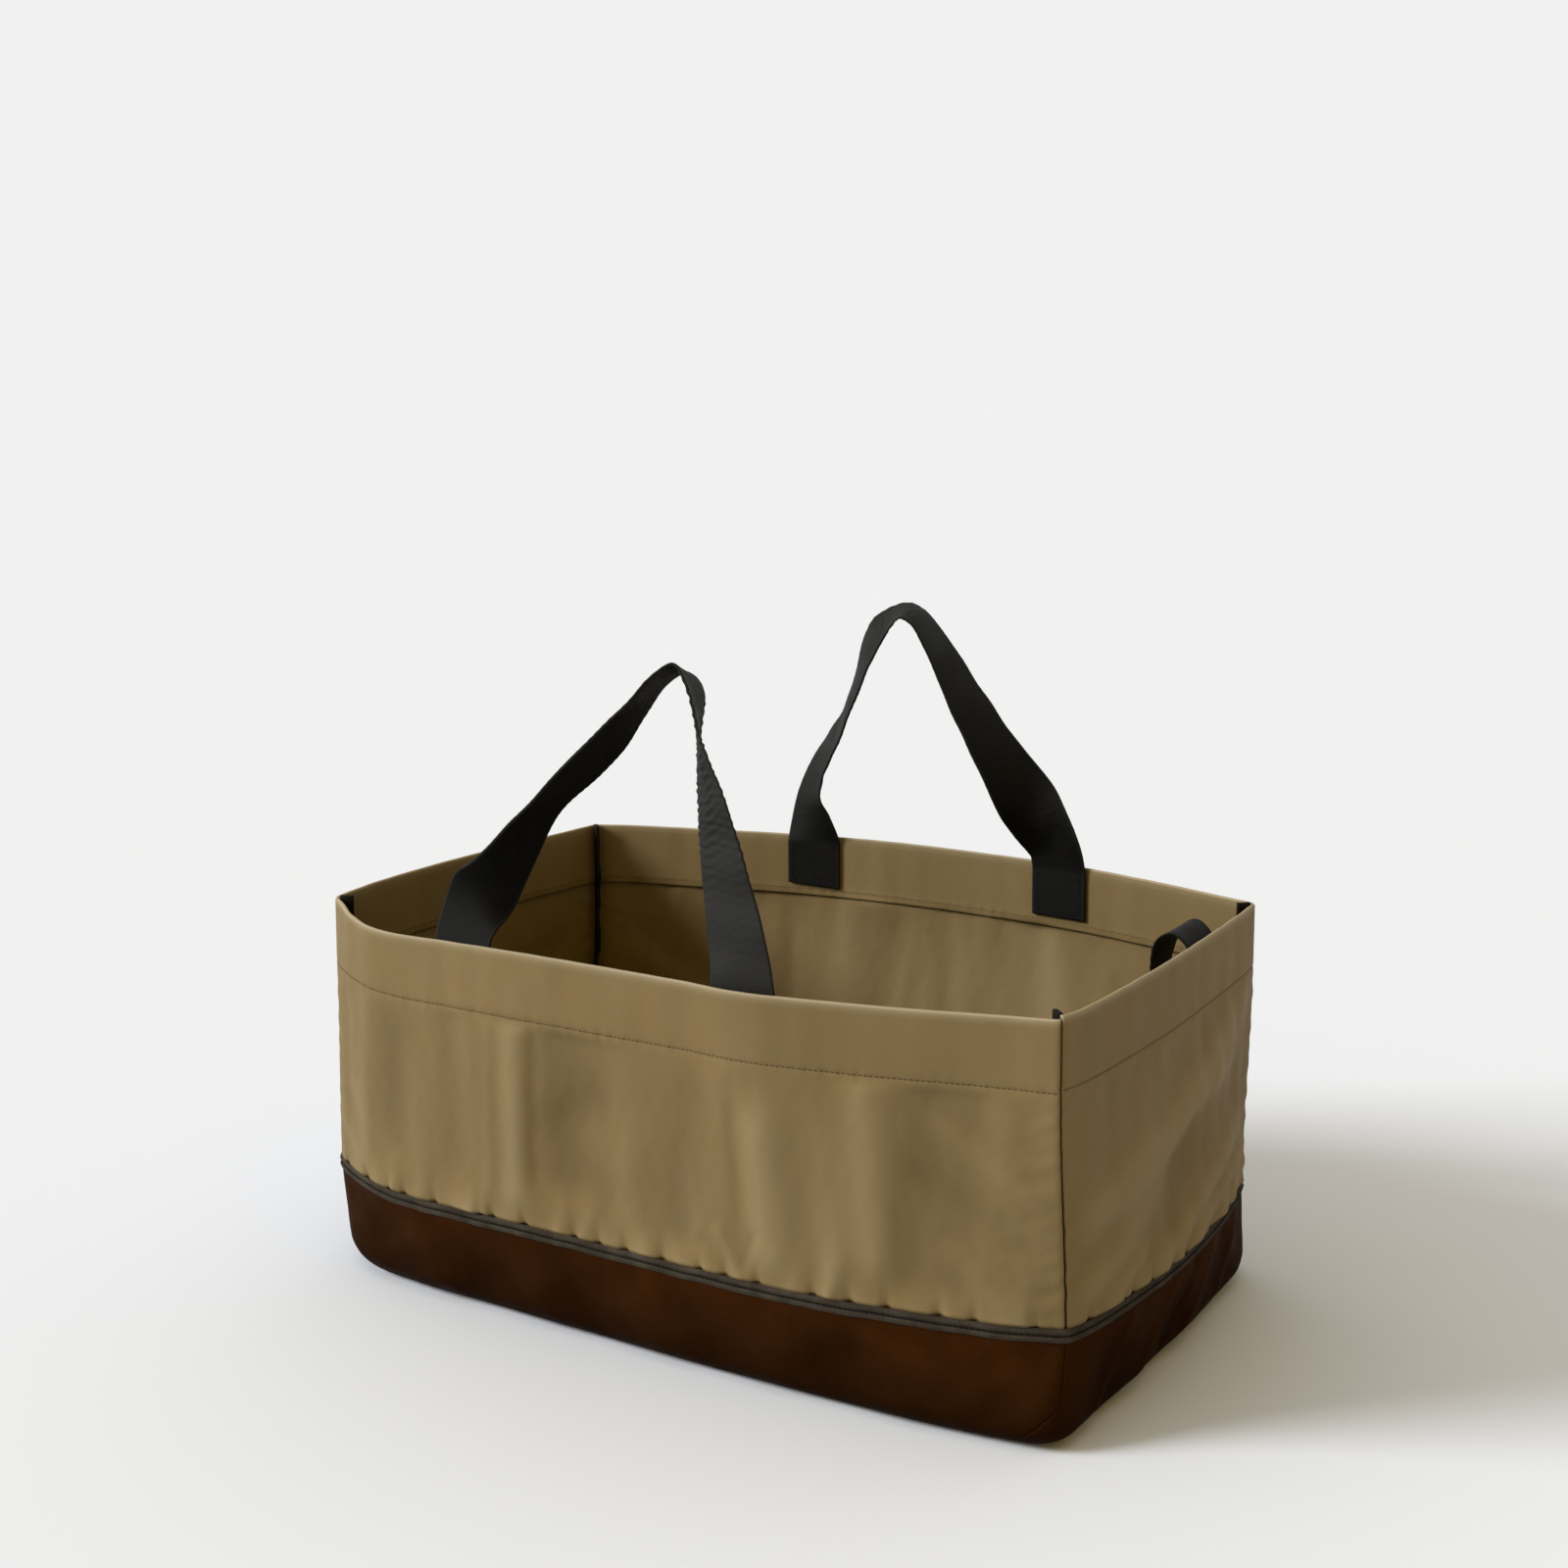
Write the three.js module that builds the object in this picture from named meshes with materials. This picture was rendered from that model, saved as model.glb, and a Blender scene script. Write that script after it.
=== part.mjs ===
import * as THREE from 'three';

// Overall sizes in millimetres. X runs along the bag, the front faces -Y, the floor is at Z = 0.
const bagLength = 600;
const bagDepth = 336;
const bagHeight = 276;
// farthest that a side swells out from the straight line between its corner seams
const sideSwell = 48;
// farthest that the rim stands above or hangs below the bag height
const rimSway = 8;

// Cloth
const clothThickness = 1.6;
const hemDepth = 46;
const hemThickness = 3;
const hemCrease = 0.8;
// share of a fold's height that is left in the hem
const hemStiffness = 0.15;
const creaseReach = 4;
const baseThickness = 2.4;
// gap that keeps neighbouring pieces apart
const pieceGap = 0.3;
// the same along the cloth from each corner seam
const seamGap = 0.4;
// the same between webbing and the hem that it lies on
const restGap = 0.8;

// Corners and floor edge
const cornerTurn = 6;
const floorCornerTurn = 20;
const floorFlange = 14;
const diagonalHeight = 30;
const diagonalRun = 34;

// Band of tape where the two cloths meet
const bandLevel = 71;
const bandWidth = 9;
const bandThickness = 1.4;
const ridgeHeight = 0.9;

// Webbing
const webbingWidth = 48;
const webbingThickness = 2;
const footLength = 42;
const webbingSteps = 40;

// Handles: half the distance between the two feet, their middle along the side, height above
// the rim and lean into the bag
const frontHandleHalfSpan = 118.4;
const frontHandleShift = -22;
const backHandleHalfSpan = 113.7;
const backHandleShift = -16.6;
const handleRise = 196;
const handleLean = 46;
const handleFootTop = 4;

// Strap inside the right end
const strapHalfSpan = 64;
const strapShift = 6;
const strapLean = 34;
const strapHang = 100;
const strapFootTop = 22;

// Tape over the seam edges in the inner corners
const bindingWidth = 9;
const bindingThickness = 2.6;
const bindingTop = 3;

// Corner seams in the order of the sides: places at the floor, the band and the rim as shares of
// half the length and half the depth, and the radius that rounds the cloth under at the floor.
const cornerRows = [
  { name: 'front_left', x: [-0.985, -1.018, -1.008], y: [-0.91, -0.915, -0.905], radius: 22 },
  { name: 'front_right', x: [1.03, 1.012, 1.013], y: [-1.055, -0.935, -1.01], radius: 18 },
  { name: 'back_right', x: [1, 0.999, 1.002], y: [1, 0.93, 0.985], radius: 18 },
  { name: 'back_left', x: [-0.985, -1, -1], y: [0.96, 0.94, 0.985], radius: 30 },
];

// Each side is followed counter-clockwise from its first corner seam.
// Columns: share of the side, then the swell at the floor, band, hem and rim as shares of
// sideSwell, then the rim's rise as a share of rimSway.
const frontRows = [
  { share: 0, floor: 0, band: 0, hem: 0, rim: 0, rise: 0.1 },
  { share: 0.03, floor: 0.38, band: 0.24, hem: 0.32, rim: 0.22, rise: 0 },
  { share: 0.07, floor: 0.66, band: 0.48, hem: 0.6, rim: 0.56, rise: -0.2 },
  { share: 0.12, floor: 0.72, band: 0.72, hem: 0.85, rim: 0.86, rise: -0.4 },
  { share: 0.17, floor: 0.73, band: 0.83, hem: 0.95, rim: 0.97, rise: -0.5 },
  { share: 0.25, floor: 0.69, band: 0.85, hem: 0.95, rim: 0.9, rise: -0.5 },
  { share: 0.36, floor: 0.66, band: 0.83, hem: 0.92, rim: 0.84, rise: -0.5 },
  { share: 0.47, floor: 0.62, band: 0.84, hem: 0.88, rim: 0.83, rise: -0.5 },
  { share: 0.58, floor: 0.58, band: 0.85, hem: 0.82, rim: 0.85, rise: -0.5 },
  { share: 0.66, floor: 0.52, band: 0.84, hem: 0.84, rim: 0.9, rise: -0.5 },
  { share: 0.75, floor: 0.45, band: 0.76, hem: 0.62, rim: 0.68, rise: -0.5 },
  { share: 0.85, floor: 0.34, band: 0.54, hem: 0.34, rim: 0.42, rise: -0.4 },
  { share: 0.93, floor: 0.2, band: 0.33, hem: 0.12, rim: 0.18, rise: -0.25 },
  { share: 1, floor: 0, band: 0, hem: 0, rim: 0, rise: -0.1 },
];
const rightRows = [
  { share: 0, floor: 0, band: 0, hem: 0, rim: 0, rise: 0.2 },
  { share: 0.08, floor: 0.04, band: 0.14, hem: 0.08, rim: 0.06, rise: 0.1 },
  { share: 0.22, floor: 0.08, band: 0.26, hem: 0.14, rim: 0.1, rise: 0.1 },
  { share: 0.45, floor: 0.13, band: 0.36, hem: 0.18, rim: 0.12, rise: 0.15 },
  { share: 0.7, floor: 0.16, band: 0.3, hem: 0.14, rim: 0.09, rise: 0.25 },
  { share: 0.88, floor: 0.12, band: 0.16, hem: 0.08, rim: 0.05, rise: 0.35 },
  { share: 1, floor: 0, band: 0, hem: 0, rim: 0, rise: 0.4 },
];
const backRows = [
  { share: 0, floor: 0, band: 0, hem: 0, rim: 0, rise: 0.4 },
  { share: 0.05, floor: 0.26, band: 0.2, hem: 0.2, rim: 0.16, rise: 0.5 },
  { share: 0.14, floor: 0.55, band: 0.38, hem: 0.42, rim: 0.4, rise: 0.75 },
  { share: 0.26, floor: 0.72, band: 0.5, hem: 0.68, rim: 0.68, rise: 0.95 },
  { share: 0.4, floor: 0.78, band: 0.52, hem: 0.84, rim: 0.84, rise: 1 },
  { share: 0.55, floor: 0.76, band: 0.48, hem: 0.86, rim: 0.88, rise: 1 },
  { share: 0.7, floor: 0.78, band: 0.54, hem: 0.78, rim: 0.78, rise: 0.8 },
  { share: 0.84, floor: 0.6, band: 0.4, hem: 0.48, rim: 0.5, rise: 0.6 },
  { share: 0.94, floor: 0.3, band: 0.22, hem: 0.24, rim: 0.24, rise: 0.5 },
  { share: 1, floor: 0, band: 0, hem: 0, rim: 0, rise: 0.4 },
];
const leftRows = [
  { share: 0, floor: 0, band: 0, hem: 0, rim: 0, rise: 0.4 },
  { share: 0.12, floor: 0.16, band: 0.14, hem: 0.09, rim: 0.06, rise: 0.35 },
  { share: 0.35, floor: 0.26, band: 0.28, hem: 0.18, rim: 0.12, rise: 0.4 },
  { share: 0.6, floor: 0.28, band: 0.3, hem: 0.2, rim: 0.13, rise: 0.45 },
  { share: 0.85, floor: 0.16, band: 0.16, hem: 0.12, rim: 0.08, rise: 0.35 },
  { share: 1, floor: 0, band: 0, hem: 0, rim: 0, rise: 0.1 },
];
const sideTables = [frontRows, rightRows, backRows, leftRows];

// Soft folds of the tan cloth. Columns: side, share at the band and at the rim, half width and
// height in millimetres (below zero is a hollow), and the shares of the cloth's height where the
// fold begins and ends.
const foldRows = [
  { side: 0, below: 0.34, above: 0.37, reach: 16, height: 4, from: 0, to: 1 },
  { side: 0, below: 0.42, above: 0.44, reach: 30, height: -3.5, from: 0.1, to: 0.9 },
  { side: 0, below: 0.67, above: 0.66, reach: 18, height: 4.5, from: 0, to: 0.72 },
  { side: 0, below: 0.56, above: 0.6, reach: 26, height: -3, from: 0, to: 0.75 },
  { side: 0, below: 0.82, above: 0.8, reach: 18, height: 3, from: 0.1, to: 0.95 },
  { side: 0, below: 0.13, above: 0.2, reach: 22, height: -2.5, from: 0.05, to: 0.8 },
  { side: 1, below: 0.12, above: 0.5, reach: 20, height: 4, from: 0.05, to: 0.95 },
  { side: 1, below: 0.34, above: 0.8, reach: 20, height: -4, from: 0.05, to: 0.9 },
  { side: 1, below: 0.62, above: 0.98, reach: 18, height: 3.5, from: 0, to: 0.75 },
  { side: 2, below: 0.3, above: 0.33, reach: 22, height: 3.5, from: 0, to: 0.9 },
  { side: 2, below: 0.6, above: 0.56, reach: 26, height: -3, from: 0.05, to: 0.9 },
  { side: 2, below: 0.8, above: 0.76, reach: 20, height: 3, from: 0, to: 0.8 },
  { side: 3, below: 0.3, above: 0.5, reach: 20, height: 3, from: 0, to: 0.8 },
  { side: 3, below: 0.7, above: 0.6, reach: 20, height: -3, from: 0, to: 0.8 },
];
// Gathers just above the band: how far they stand out, how high they reach, how far apart
const gatherHeight = 1.5;
const gatherReach = 22;
const gatherSpacing = 68;
// Waves of the brown cloth
const skirtWave = 1.6;
const skirtWaveSpacing = 96;

// Handle of the front, left foot to right foot. Columns: along the side as a share of the half
// span, lean and rise as shares of the handle's lean and rise, and the turn of the webbing's
// width away from the X axis in degrees.
const frontHandleRows = [
  { along: -1, lean: 0, rise: 0, turn: -2 },
  { along: -0.985, lean: 0.06, rise: 0.045, turn: 0 },
  { along: -0.87, lean: 0.14, rise: 0.155, turn: 8 },
  { along: -0.825, lean: 0.22, rise: 0.205, turn: 42 },
  { along: -0.704, lean: 0.3, rise: 0.305, turn: 68 },
  { along: -0.526, lean: 0.42, rise: 0.448, turn: 80 },
  { along: -0.35, lean: 0.52, rise: 0.568, turn: 86 },
  { along: -0.01, lean: 0.72, rise: 0.79, turn: 97 },
  { along: 0.169, lean: 0.88, rise: 0.918, turn: 104 },
  { along: 0.262, lean: 1, rise: 0.985, turn: 111 },
  { along: 0.39, lean: 1, rise: 0.937, turn: 114 },
  { along: 0.45, lean: 0.93, rise: 0.857, turn: 117 },
  { along: 0.487, lean: 0.82, rise: 0.764, turn: 123 },
  { along: 0.584, lean: 0.64, rise: 0.629, turn: 134 },
  { along: 0.705, lean: 0.42, rise: 0.461, turn: 146 },
  { along: 0.81, lean: 0.24, rise: 0.315, turn: 155 },
  { along: 0.898, lean: 0.13, rise: 0.19, turn: 163 },
  { along: 1, lean: 0, rise: 0, turn: 180 },
];
// Handle of the back, followed the same way round the bag: right foot to left foot.
const backHandleRows = [
  { along: -1, lean: 0, rise: 0, turn: 0 },
  { along: -0.984, lean: 0.08, rise: 0.062, turn: -2 },
  { along: -0.873, lean: 0.2, rise: 0.177, turn: 0 },
  { along: -0.725, lean: 0.34, rise: 0.32, turn: 14 },
  { along: -0.595, lean: 0.5, rise: 0.46, turn: 56 },
  { along: -0.332, lean: 0.74, rise: 0.749, turn: 88 },
  { along: -0.168, lean: 0.92, rise: 0.931, turn: 99 },
  { along: 0.006, lean: 1, rise: 1.02, turn: 103 },
  { along: 0.173, lean: 0.94, rise: 0.977, turn: 106 },
  { along: 0.292, lean: 0.8, rise: 0.883, turn: 108 },
  { along: 0.397, lean: 0.66, rise: 0.773, turn: 112 },
  { along: 0.497, lean: 0.5, rise: 0.647, turn: 119 },
  { along: 0.655, lean: 0.36, rise: 0.515, turn: 126 },
  { along: 0.834, lean: 0.26, rise: 0.365, turn: 130 },
  { along: 0.95, lean: 0.16, rise: 0.24, turn: 137 },
  { along: 0.989, lean: 0.07, rise: 0.12, turn: 155 },
  { along: 1, lean: 0, rise: 0, turn: 180 },
];
// Strap inside the right end, from the near foot to the far foot: it folds over both feet and
// hangs inside the bag. Same columns, with rise as a share of the strap's hang.
const strapRows = [
  { along: -1, lean: 0, rise: -0.22, turn: -90 },
  { along: -1, lean: 0.12, rise: -0.17, turn: -90 },
  { along: -1, lean: 0.34, rise: -0.15, turn: -90 },
  { along: -0.98, lean: 0.5, rise: -0.22, turn: -90 },
  { along: -0.92, lean: 0.58, rise: -0.42, turn: -97 },
  { along: -0.75, lean: 0.64, rise: -0.72, turn: -118 },
  { along: -0.4, lean: 0.7, rise: -0.96, turn: -150 },
  { along: 0, lean: 0.76, rise: -1.04, turn: -180 },
  { along: 0.4, lean: 0.82, rise: -0.94, turn: -210 },
  { along: 0.76, lean: 0.88, rise: -0.66, turn: -242 },
  { along: 0.92, lean: 0.94, rise: -0.34, turn: -262 },
  { along: 0.98, lean: 0.84, rise: -0.08, turn: -270 },
  { along: 1, lean: 0.5, rise: 0.02, turn: -270 },
  { along: 1, lean: 0.18, rise: -0.06, turn: -270 },
  { along: 1, lean: 0, rise: -0.22, turn: -270 },
];

const tan = { color: 0x9c8a64, roughness: 0.7, metalness: 0 };
const brown = { color: 0x3a2115, roughness: 0.55, metalness: 0 };
const grey = { color: 0x4b4742, roughness: 0.8, metalness: 0 };
const black = { color: 0x1b1a18, roughness: 0.85, metalness: 0 };
const dark = { color: 0x17130f, roughness: 0.9, metalness: 0 };

const between = (a, b, share) => a + (b - a) * share;
const clamp = (value, low, high) => Math.min(Math.max(value, low), high);
const ease = (value) => {
  const part = clamp(value, 0, 1);
  return part * part * (3 - 2 * part);
};

// Smooth curve through one column of a table, with slopes taken from the neighbouring rows.
function readTable(rows, key, column, value) {
  const last = rows.length - 1;
  let row = 0;
  while (row < last - 1 && value > rows[row + 1][key]) row += 1;
  const slope = (index) => {
    const before = rows[Math.max(index - 1, 0)];
    const after = rows[Math.min(index + 1, last)];
    return (after[column] - before[column]) / (after[key] - before[key]);
  };
  const start = rows[row];
  const end = rows[row + 1];
  const width = end[key] - start[key];
  const t = clamp((value - start[key]) / width, 0, 1);
  const lead = t * t * (3 - 2 * t);
  const startPull = t * (1 - t) * (1 - t) * width * slope(row);
  const endPull = t * t * (1 - t) * width * slope(row + 1);
  return between(start[column], end[column], lead) + startPull - endPull;
}

// Corner seam at a height: eased between its three places.
function cornerPoint(index, height = bagHeight) {
  const row = cornerRows[(index + 4) % 4];
  const low = ease(height / bandLevel);
  const high = ease((height - bandLevel) / (bagHeight - hemDepth - bandLevel));
  const read = ([floor, band, rim]) => between(between(floor, band, low), rim, high);
  return new THREE.Vector2((read(row.x) * bagLength) / 2, (read(row.y) * bagDepth) / 2);
}
const sideLengths = [0, 1, 2, 3].map((side) => cornerPoint(side).distanceTo(cornerPoint(side + 1)));
const sideLength = (side) => sideLengths[side % 4];

// A place around the bag is a number: the side from 0 to 3 plus the share along that side.
function splitPlace(place) {
  const wrapped = ((place % 4) + 4) % 4;
  const side = Math.floor(wrapped);
  return { side, share: wrapped - side };
}

const rimHeight = (place) => {
  const { side, share } = splitPlace(place);
  return bagHeight + rimSway * readTable(sideTables[side], 'share', 'rise', share);
};
const stitchHeight = (place) => rimHeight(place) - hemDepth;

// Swell of a side at a height, eased between the levels of its table.
function swell(side, share, height) {
  const rows = sideTables[side];
  const read = (column) => readTable(rows, 'share', column, share);
  const stitch = bagHeight - hemDepth;
  if (height < bandLevel) {
    return sideSwell * between(read('floor'), read('band'), ease(height / bandLevel));
  }
  if (height < stitch) {
    const part = ease((height - bandLevel) / (stitch - bandLevel));
    return sideSwell * between(read('band'), read('hem'), part);
  }
  return sideSwell * between(read('hem'), read('rim'), (height - stitch) / hemDepth);
}

// Folds, gathers and the hem's crease, as a distance outwards.
function relief(place, height) {
  const { side, share } = splitPlace(place);
  const length = sideLength(side);
  const nearCorner = ease((Math.min(share, 1 - share) * length) / 24);
  if (height < bandLevel) {
    const wave = Math.sin((2 * Math.PI * share * length) / skirtWaveSpacing + side);
    const fade = ease((bandLevel - bandWidth - height) / 20) * ease(height / 20);
    return skirtWave * wave * fade * nearCorner;
  }
  const part = (height - bandLevel) / (rimHeight(place) - bandLevel);
  const stiff = between(1, hemStiffness, ease((height - stitchHeight(place) + 10) / 10));
  let sum = 0;
  for (const fold of foldRows) {
    if (fold.side === side) {
      const centre = between(fold.below, fold.above, part);
      const offset = ((share - centre) * length) / fold.reach;
      const fade = ease((part - fold.from) / 0.15) * ease((fold.to - part) / 0.2);
      sum += fold.height * Math.exp(-offset * offset) * fade * stiff;
    }
  }
  const above = height - bandLevel - bandWidth / 2;
  const gather = 0.5 + 0.5 * Math.cos((2 * Math.PI * share * length) / gatherSpacing);
  const gatherFade = ease(above / 8) * ease(1 - above / gatherReach);
  const crease = Math.max(0, 1 - Math.abs(height - stitchHeight(place)) / creaseReach);
  return (sum + gatherHeight * gather * gatherFade) * nearCorner - hemCrease * crease;
}

// Distance inwards that rounds the cloth under at the floor.
function floorInset(place, height) {
  const { side, share } = splitPlace(place);
  const radius = between(cornerRows[side].radius, cornerRows[(side + 1) % 4].radius, ease(share));
  const drop = Math.max(0, radius - height);
  return radius - Math.sqrt(radius * radius - drop * drop);
}

// Point on one side before its corners are turned; inset moves it into the bag.
function sidePoint(side, share, height, inset) {
  const start = cornerPoint(side, height);
  const end = cornerPoint(side + 1, height);
  const along = end.clone().sub(start).normalize();
  const out = new THREE.Vector2(along.y, -along.x);
  const length = start.distanceTo(end);
  const distance = between(inset, length - inset, share);
  const push = swell(side, share, height) + relief(side + share, height) - inset;
  return start.addScaledVector(along, distance).addScaledVector(out, push);
}

// Point on the outer face of the bag. Near a corner seam the path is a parabola between the
// two places where the turn begins, so the cloth goes round in one piece.
function outerPoint(place, height, flange = 0) {
  const inset = floorInset(place, height) + flange;
  const low = 1 - ease(height / (bandLevel - bandWidth));
  const turn = between(cornerTurn, floorCornerTurn, low);
  const { side, share } = splitPlace(place);
  const nearest = share > 0.5 ? side + 1 : side;
  const length = sideLength(side);
  const distance = (share > 0.5 ? share - 1 : share) * length;
  let point;
  if (Math.abs(distance) >= turn) {
    point = sidePoint(side, share, height, inset);
  } else {
    const before = (nearest + 3) % 4;
    const after = nearest % 4;
    const start = sidePoint(before, 1 - turn / sideLength(before), height, inset);
    const end = sidePoint(after, turn / sideLength(after), height, inset);
    const corner = sidePoint(after, 0, height, inset);
    const t = (distance + turn) / (2 * turn);
    point = start.multiplyScalar((1 - t) * (1 - t));
    point.addScaledVector(corner, 2 * t * (1 - t)).addScaledVector(end, t * t);
  }
  return new THREE.Vector3(point.x, point.y, height);
}

// Outward direction of the outer face, from small steps around and up the bag.
function outward(place, height, flange = 0) {
  const step = 0.4 / bagDepth;
  const lift = 0.6;
  const ahead = outerPoint(place + step, height, flange);
  const behind = outerPoint(place - step, height, flange);
  const around = ahead.sub(behind);
  if (flange > 0) return new THREE.Vector3(0, 0, -1);
  const high = outerPoint(place, height + lift);
  const low = outerPoint(place, Math.max(height - lift, 0));
  return around.cross(high.sub(low)).normalize();
}

function meshFrom(name, positions, triangles, look) {
  const geometry = new THREE.BufferGeometry();
  geometry.setAttribute('position', new THREE.Float32BufferAttribute(positions, 3));
  geometry.setIndex(triangles);
  geometry.computeVertexNormals();
  const mesh = new THREE.Mesh(geometry, new THREE.MeshStandardMaterial(look));
  mesh.name = name;
  return mesh;
}

// Closed sheet from two matching grids of points: the outer face and the inner face.
function sheet(name, outer, inner, look) {
  const rows = outer.length;
  const columns = outer[0].length;
  const positions = [];
  for (const grid of [outer, inner]) {
    for (const row of grid) for (const point of row) positions.push(point.x, point.y, point.z);
  }
  const triangles = [];
  const index = (face, row, column) => (face * rows + row) * columns + column;
  const square = (a, b, c, d) => triangles.push(a, b, c, a, c, d);
  for (let row = 0; row < rows - 1; row += 1) {
    for (let column = 0; column < columns - 1; column += 1) {
      const corners = [[row, column], [row, column + 1], [row + 1, column + 1], [row + 1, column]];
      const [a, b, c, d] = corners.map(([r, k]) => index(0, r, k));
      const [e, f, g, h] = corners.map(([r, k]) => index(1, r, k));
      square(a, b, c, d);
      square(e, h, g, f);
    }
  }
  for (let row = 0; row < rows - 1; row += 1) {
    const last = columns - 1;
    square(index(0, row + 1, 0), index(1, row + 1, 0), index(1, row, 0), index(0, row, 0));
    square(index(0, row, last), index(1, row, last), index(1, row + 1, last), index(0, row + 1, last));
  }
  for (let column = 0; column < columns - 1; column += 1) {
    const last = rows - 1;
    const next = column + 1;
    square(index(0, 0, column), index(1, 0, column), index(1, 0, next), index(0, 0, next));
    square(index(0, last, next), index(1, last, next), index(1, last, column), index(0, last, column));
  }
  return meshFrom(name, positions, triangles, look);
}

// Shares along a side: close together near its two seams, even between them.
function sideShares(side, count) {
  const length = sideLength(side);
  const near = [0, 2.5, 6, 14, 28].map((distance) => distance / length);
  const start = near[near.length - 1];
  const shares = [...near];
  for (let step = 1; step < count; step += 1) {
    shares.push(between(start, 1 - start, step / count));
  }
  return shares.concat(near.reverse().map((share) => 1 - share));
}
const sideCounts = [24, 12, 15, 10];

// The same share, moved off the seams by the gap between pieces.
const offSeams = (side, share) => {
  const gap = seamGap / sideLength(side);
  return between(gap, 1 - gap, share);
};

function upperPanel(side, name) {
  const shares = sideShares(side, sideCounts[side]);
  const bottom = bandLevel + pieceGap;
  const heights = (place) => {
    const stitch = stitchHeight(place);
    const band = bandLevel + bandWidth / 2;
    return [
      bottom, band, band + 6, band + 14, band + 26,
      between(band, stitch, 0.35), between(band, stitch, 0.55), between(band, stitch, 0.75),
      stitch - creaseReach, stitch, stitch + creaseReach,
      between(stitch, rimHeight(place), 0.6), rimHeight(place),
    ];
  };
  const outer = [];
  const inner = [];
  const rowCount = heights(side).length;
  const hemRow = rowCount - 4;
  for (let row = 0; row < rowCount; row += 1) {
    const places = shares.map((share) => side + offSeams(side, share));
    const levels = places.map((place) => heights(place)[row]);
    const thickness = row >= hemRow ? hemThickness : clothThickness;
    outer.push(places.map((place, index) => outerPoint(place, levels[index])));
    inner.push(places.map((place, index) => {
      const direction = outward(place, levels[index]).setZ(0).normalize();
      return outerPoint(place, levels[index]).addScaledVector(direction, -thickness);
    }));
  }
  return sheet(name, outer, inner, tan);
}

// Distance that the seam between two skirts has run off its corner at a height.
const diagonalOffset = (height) => diagonalRun * clamp(1 - height / diagonalHeight, 0, 1);

// Places along one skirt at a height. The end skirts reach round the corners below the
// diagonal seams, and the other two are shorter by as much.
function skirtPlaces(side, height) {
  const shift = diagonalOffset(height);
  const shares = sideShares(side, sideCounts[side]);
  if (side % 2 === 0) {
    const reach = shift / sideLength(side);
    return shares.map((share) => side + between(reach, 1 - reach, offSeams(side, share)));
  }
  const reach = shift / sideLength(side + 1);
  return shares.map((share) => side + between(-reach, 1 + reach, share) + offSeams(side, share) - share);
}

// Brown cloth of one side, with a flange that turns in under the floor.
function skirt(side, name) {
  const band = bandLevel - bandWidth / 2;
  const levels = [0, 0, 1.2, 5, 12, 20, diagonalHeight, 44, band, bandLevel - pieceGap];
  const outer = [];
  const inner = [];
  levels.forEach((height, row) => {
    const flange = row === 0 ? floorFlange : 0;
    const places = skirtPlaces(side, height);
    outer.push(places.map((place) => outerPoint(place, height, flange)));
    inner.push(places.map((place) => {
      const direction = outward(place, height, row < 2 ? floorFlange : 0);
      return outerPoint(place, height, flange).addScaledVector(direction, -clothThickness);
    }));
  });
  return sheet(name, outer, inner, brown);
}

// Floor of the bag: a flat sheet inside the flanges of the skirts.
function basePanel(name) {
  const places = [0, 1, 2, 3].flatMap((side) => skirtPlaces(side, 0));
  const edge = places.map((place) => outerPoint(place, 0, floorFlange + pieceGap));
  const shape = new THREE.Shape(edge.map((point) => new THREE.Vector2(point.x, point.y)));
  const settings = { depth: baseThickness, bevelEnabled: false };
  const geometry = new THREE.ExtrudeGeometry(shape, settings);
  const mesh = new THREE.Mesh(geometry, new THREE.MeshStandardMaterial(brown));
  mesh.name = name;
  return mesh;
}

// Closed tube of one cross-section carried round the bag.
function ring(name, sections, look) {
  const count = sections.length;
  const size = sections[0].length;
  const positions = sections.flat().flatMap((point) => [point.x, point.y, point.z]);
  const triangles = [];
  for (let step = 0; step < count; step += 1) {
    const next = (step + 1) % count;
    for (let corner = 0; corner < size; corner += 1) {
      const other = (corner + 1) % size;
      const a = step * size + corner;
      const b = next * size + corner;
      const c = next * size + other;
      const d = step * size + other;
      triangles.push(a, b, c, a, c, d);
    }
  }
  return meshFrom(name, positions, triangles, look);
}

function band() {
  // columns: out from the cloth, up from the middle of the band
  const face = bandThickness + ridgeHeight;
  const profile = [
    [0, -0.5], [bandThickness, -0.5], [face, -0.25], [bandThickness, 0], [face, 0.25],
    [bandThickness, 0.5], [0, 0.5],
  ];
  const sections = [];
  for (let side = 0; side < 4; side += 1) {
    for (const share of sideShares(side, sideCounts[side]).slice(0, -1)) {
      const place = side + share;
      const direction = outward(place, bandLevel).setZ(0).normalize();
      sections.push(profile.map(([out, up]) => {
        const point = outerPoint(place, bandLevel + up * bandWidth);
        return point.addScaledVector(direction, out + pieceGap);
      }));
    }
  }
  return ring('band', sections, grey);
}

// Closed bar from sections of four corners each.
function bar(name, sections, look) {
  const positions = sections.flat().flatMap((point) => [point.x, point.y, point.z]);
  const triangles = [];
  const last = (sections.length - 1) * 4;
  for (let step = 0; step < sections.length - 1; step += 1) {
    for (let corner = 0; corner < 4; corner += 1) {
      const a = step * 4 + corner;
      const b = step * 4 + ((corner + 1) % 4);
      triangles.push(a, b, b + 4, a, b + 4, a + 4);
    }
  }
  triangles.push(0, 3, 2, 0, 2, 1, last, last + 1, last + 2, last, last + 2, last + 3);
  return meshFrom(name, positions, triangles, look);
}

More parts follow.
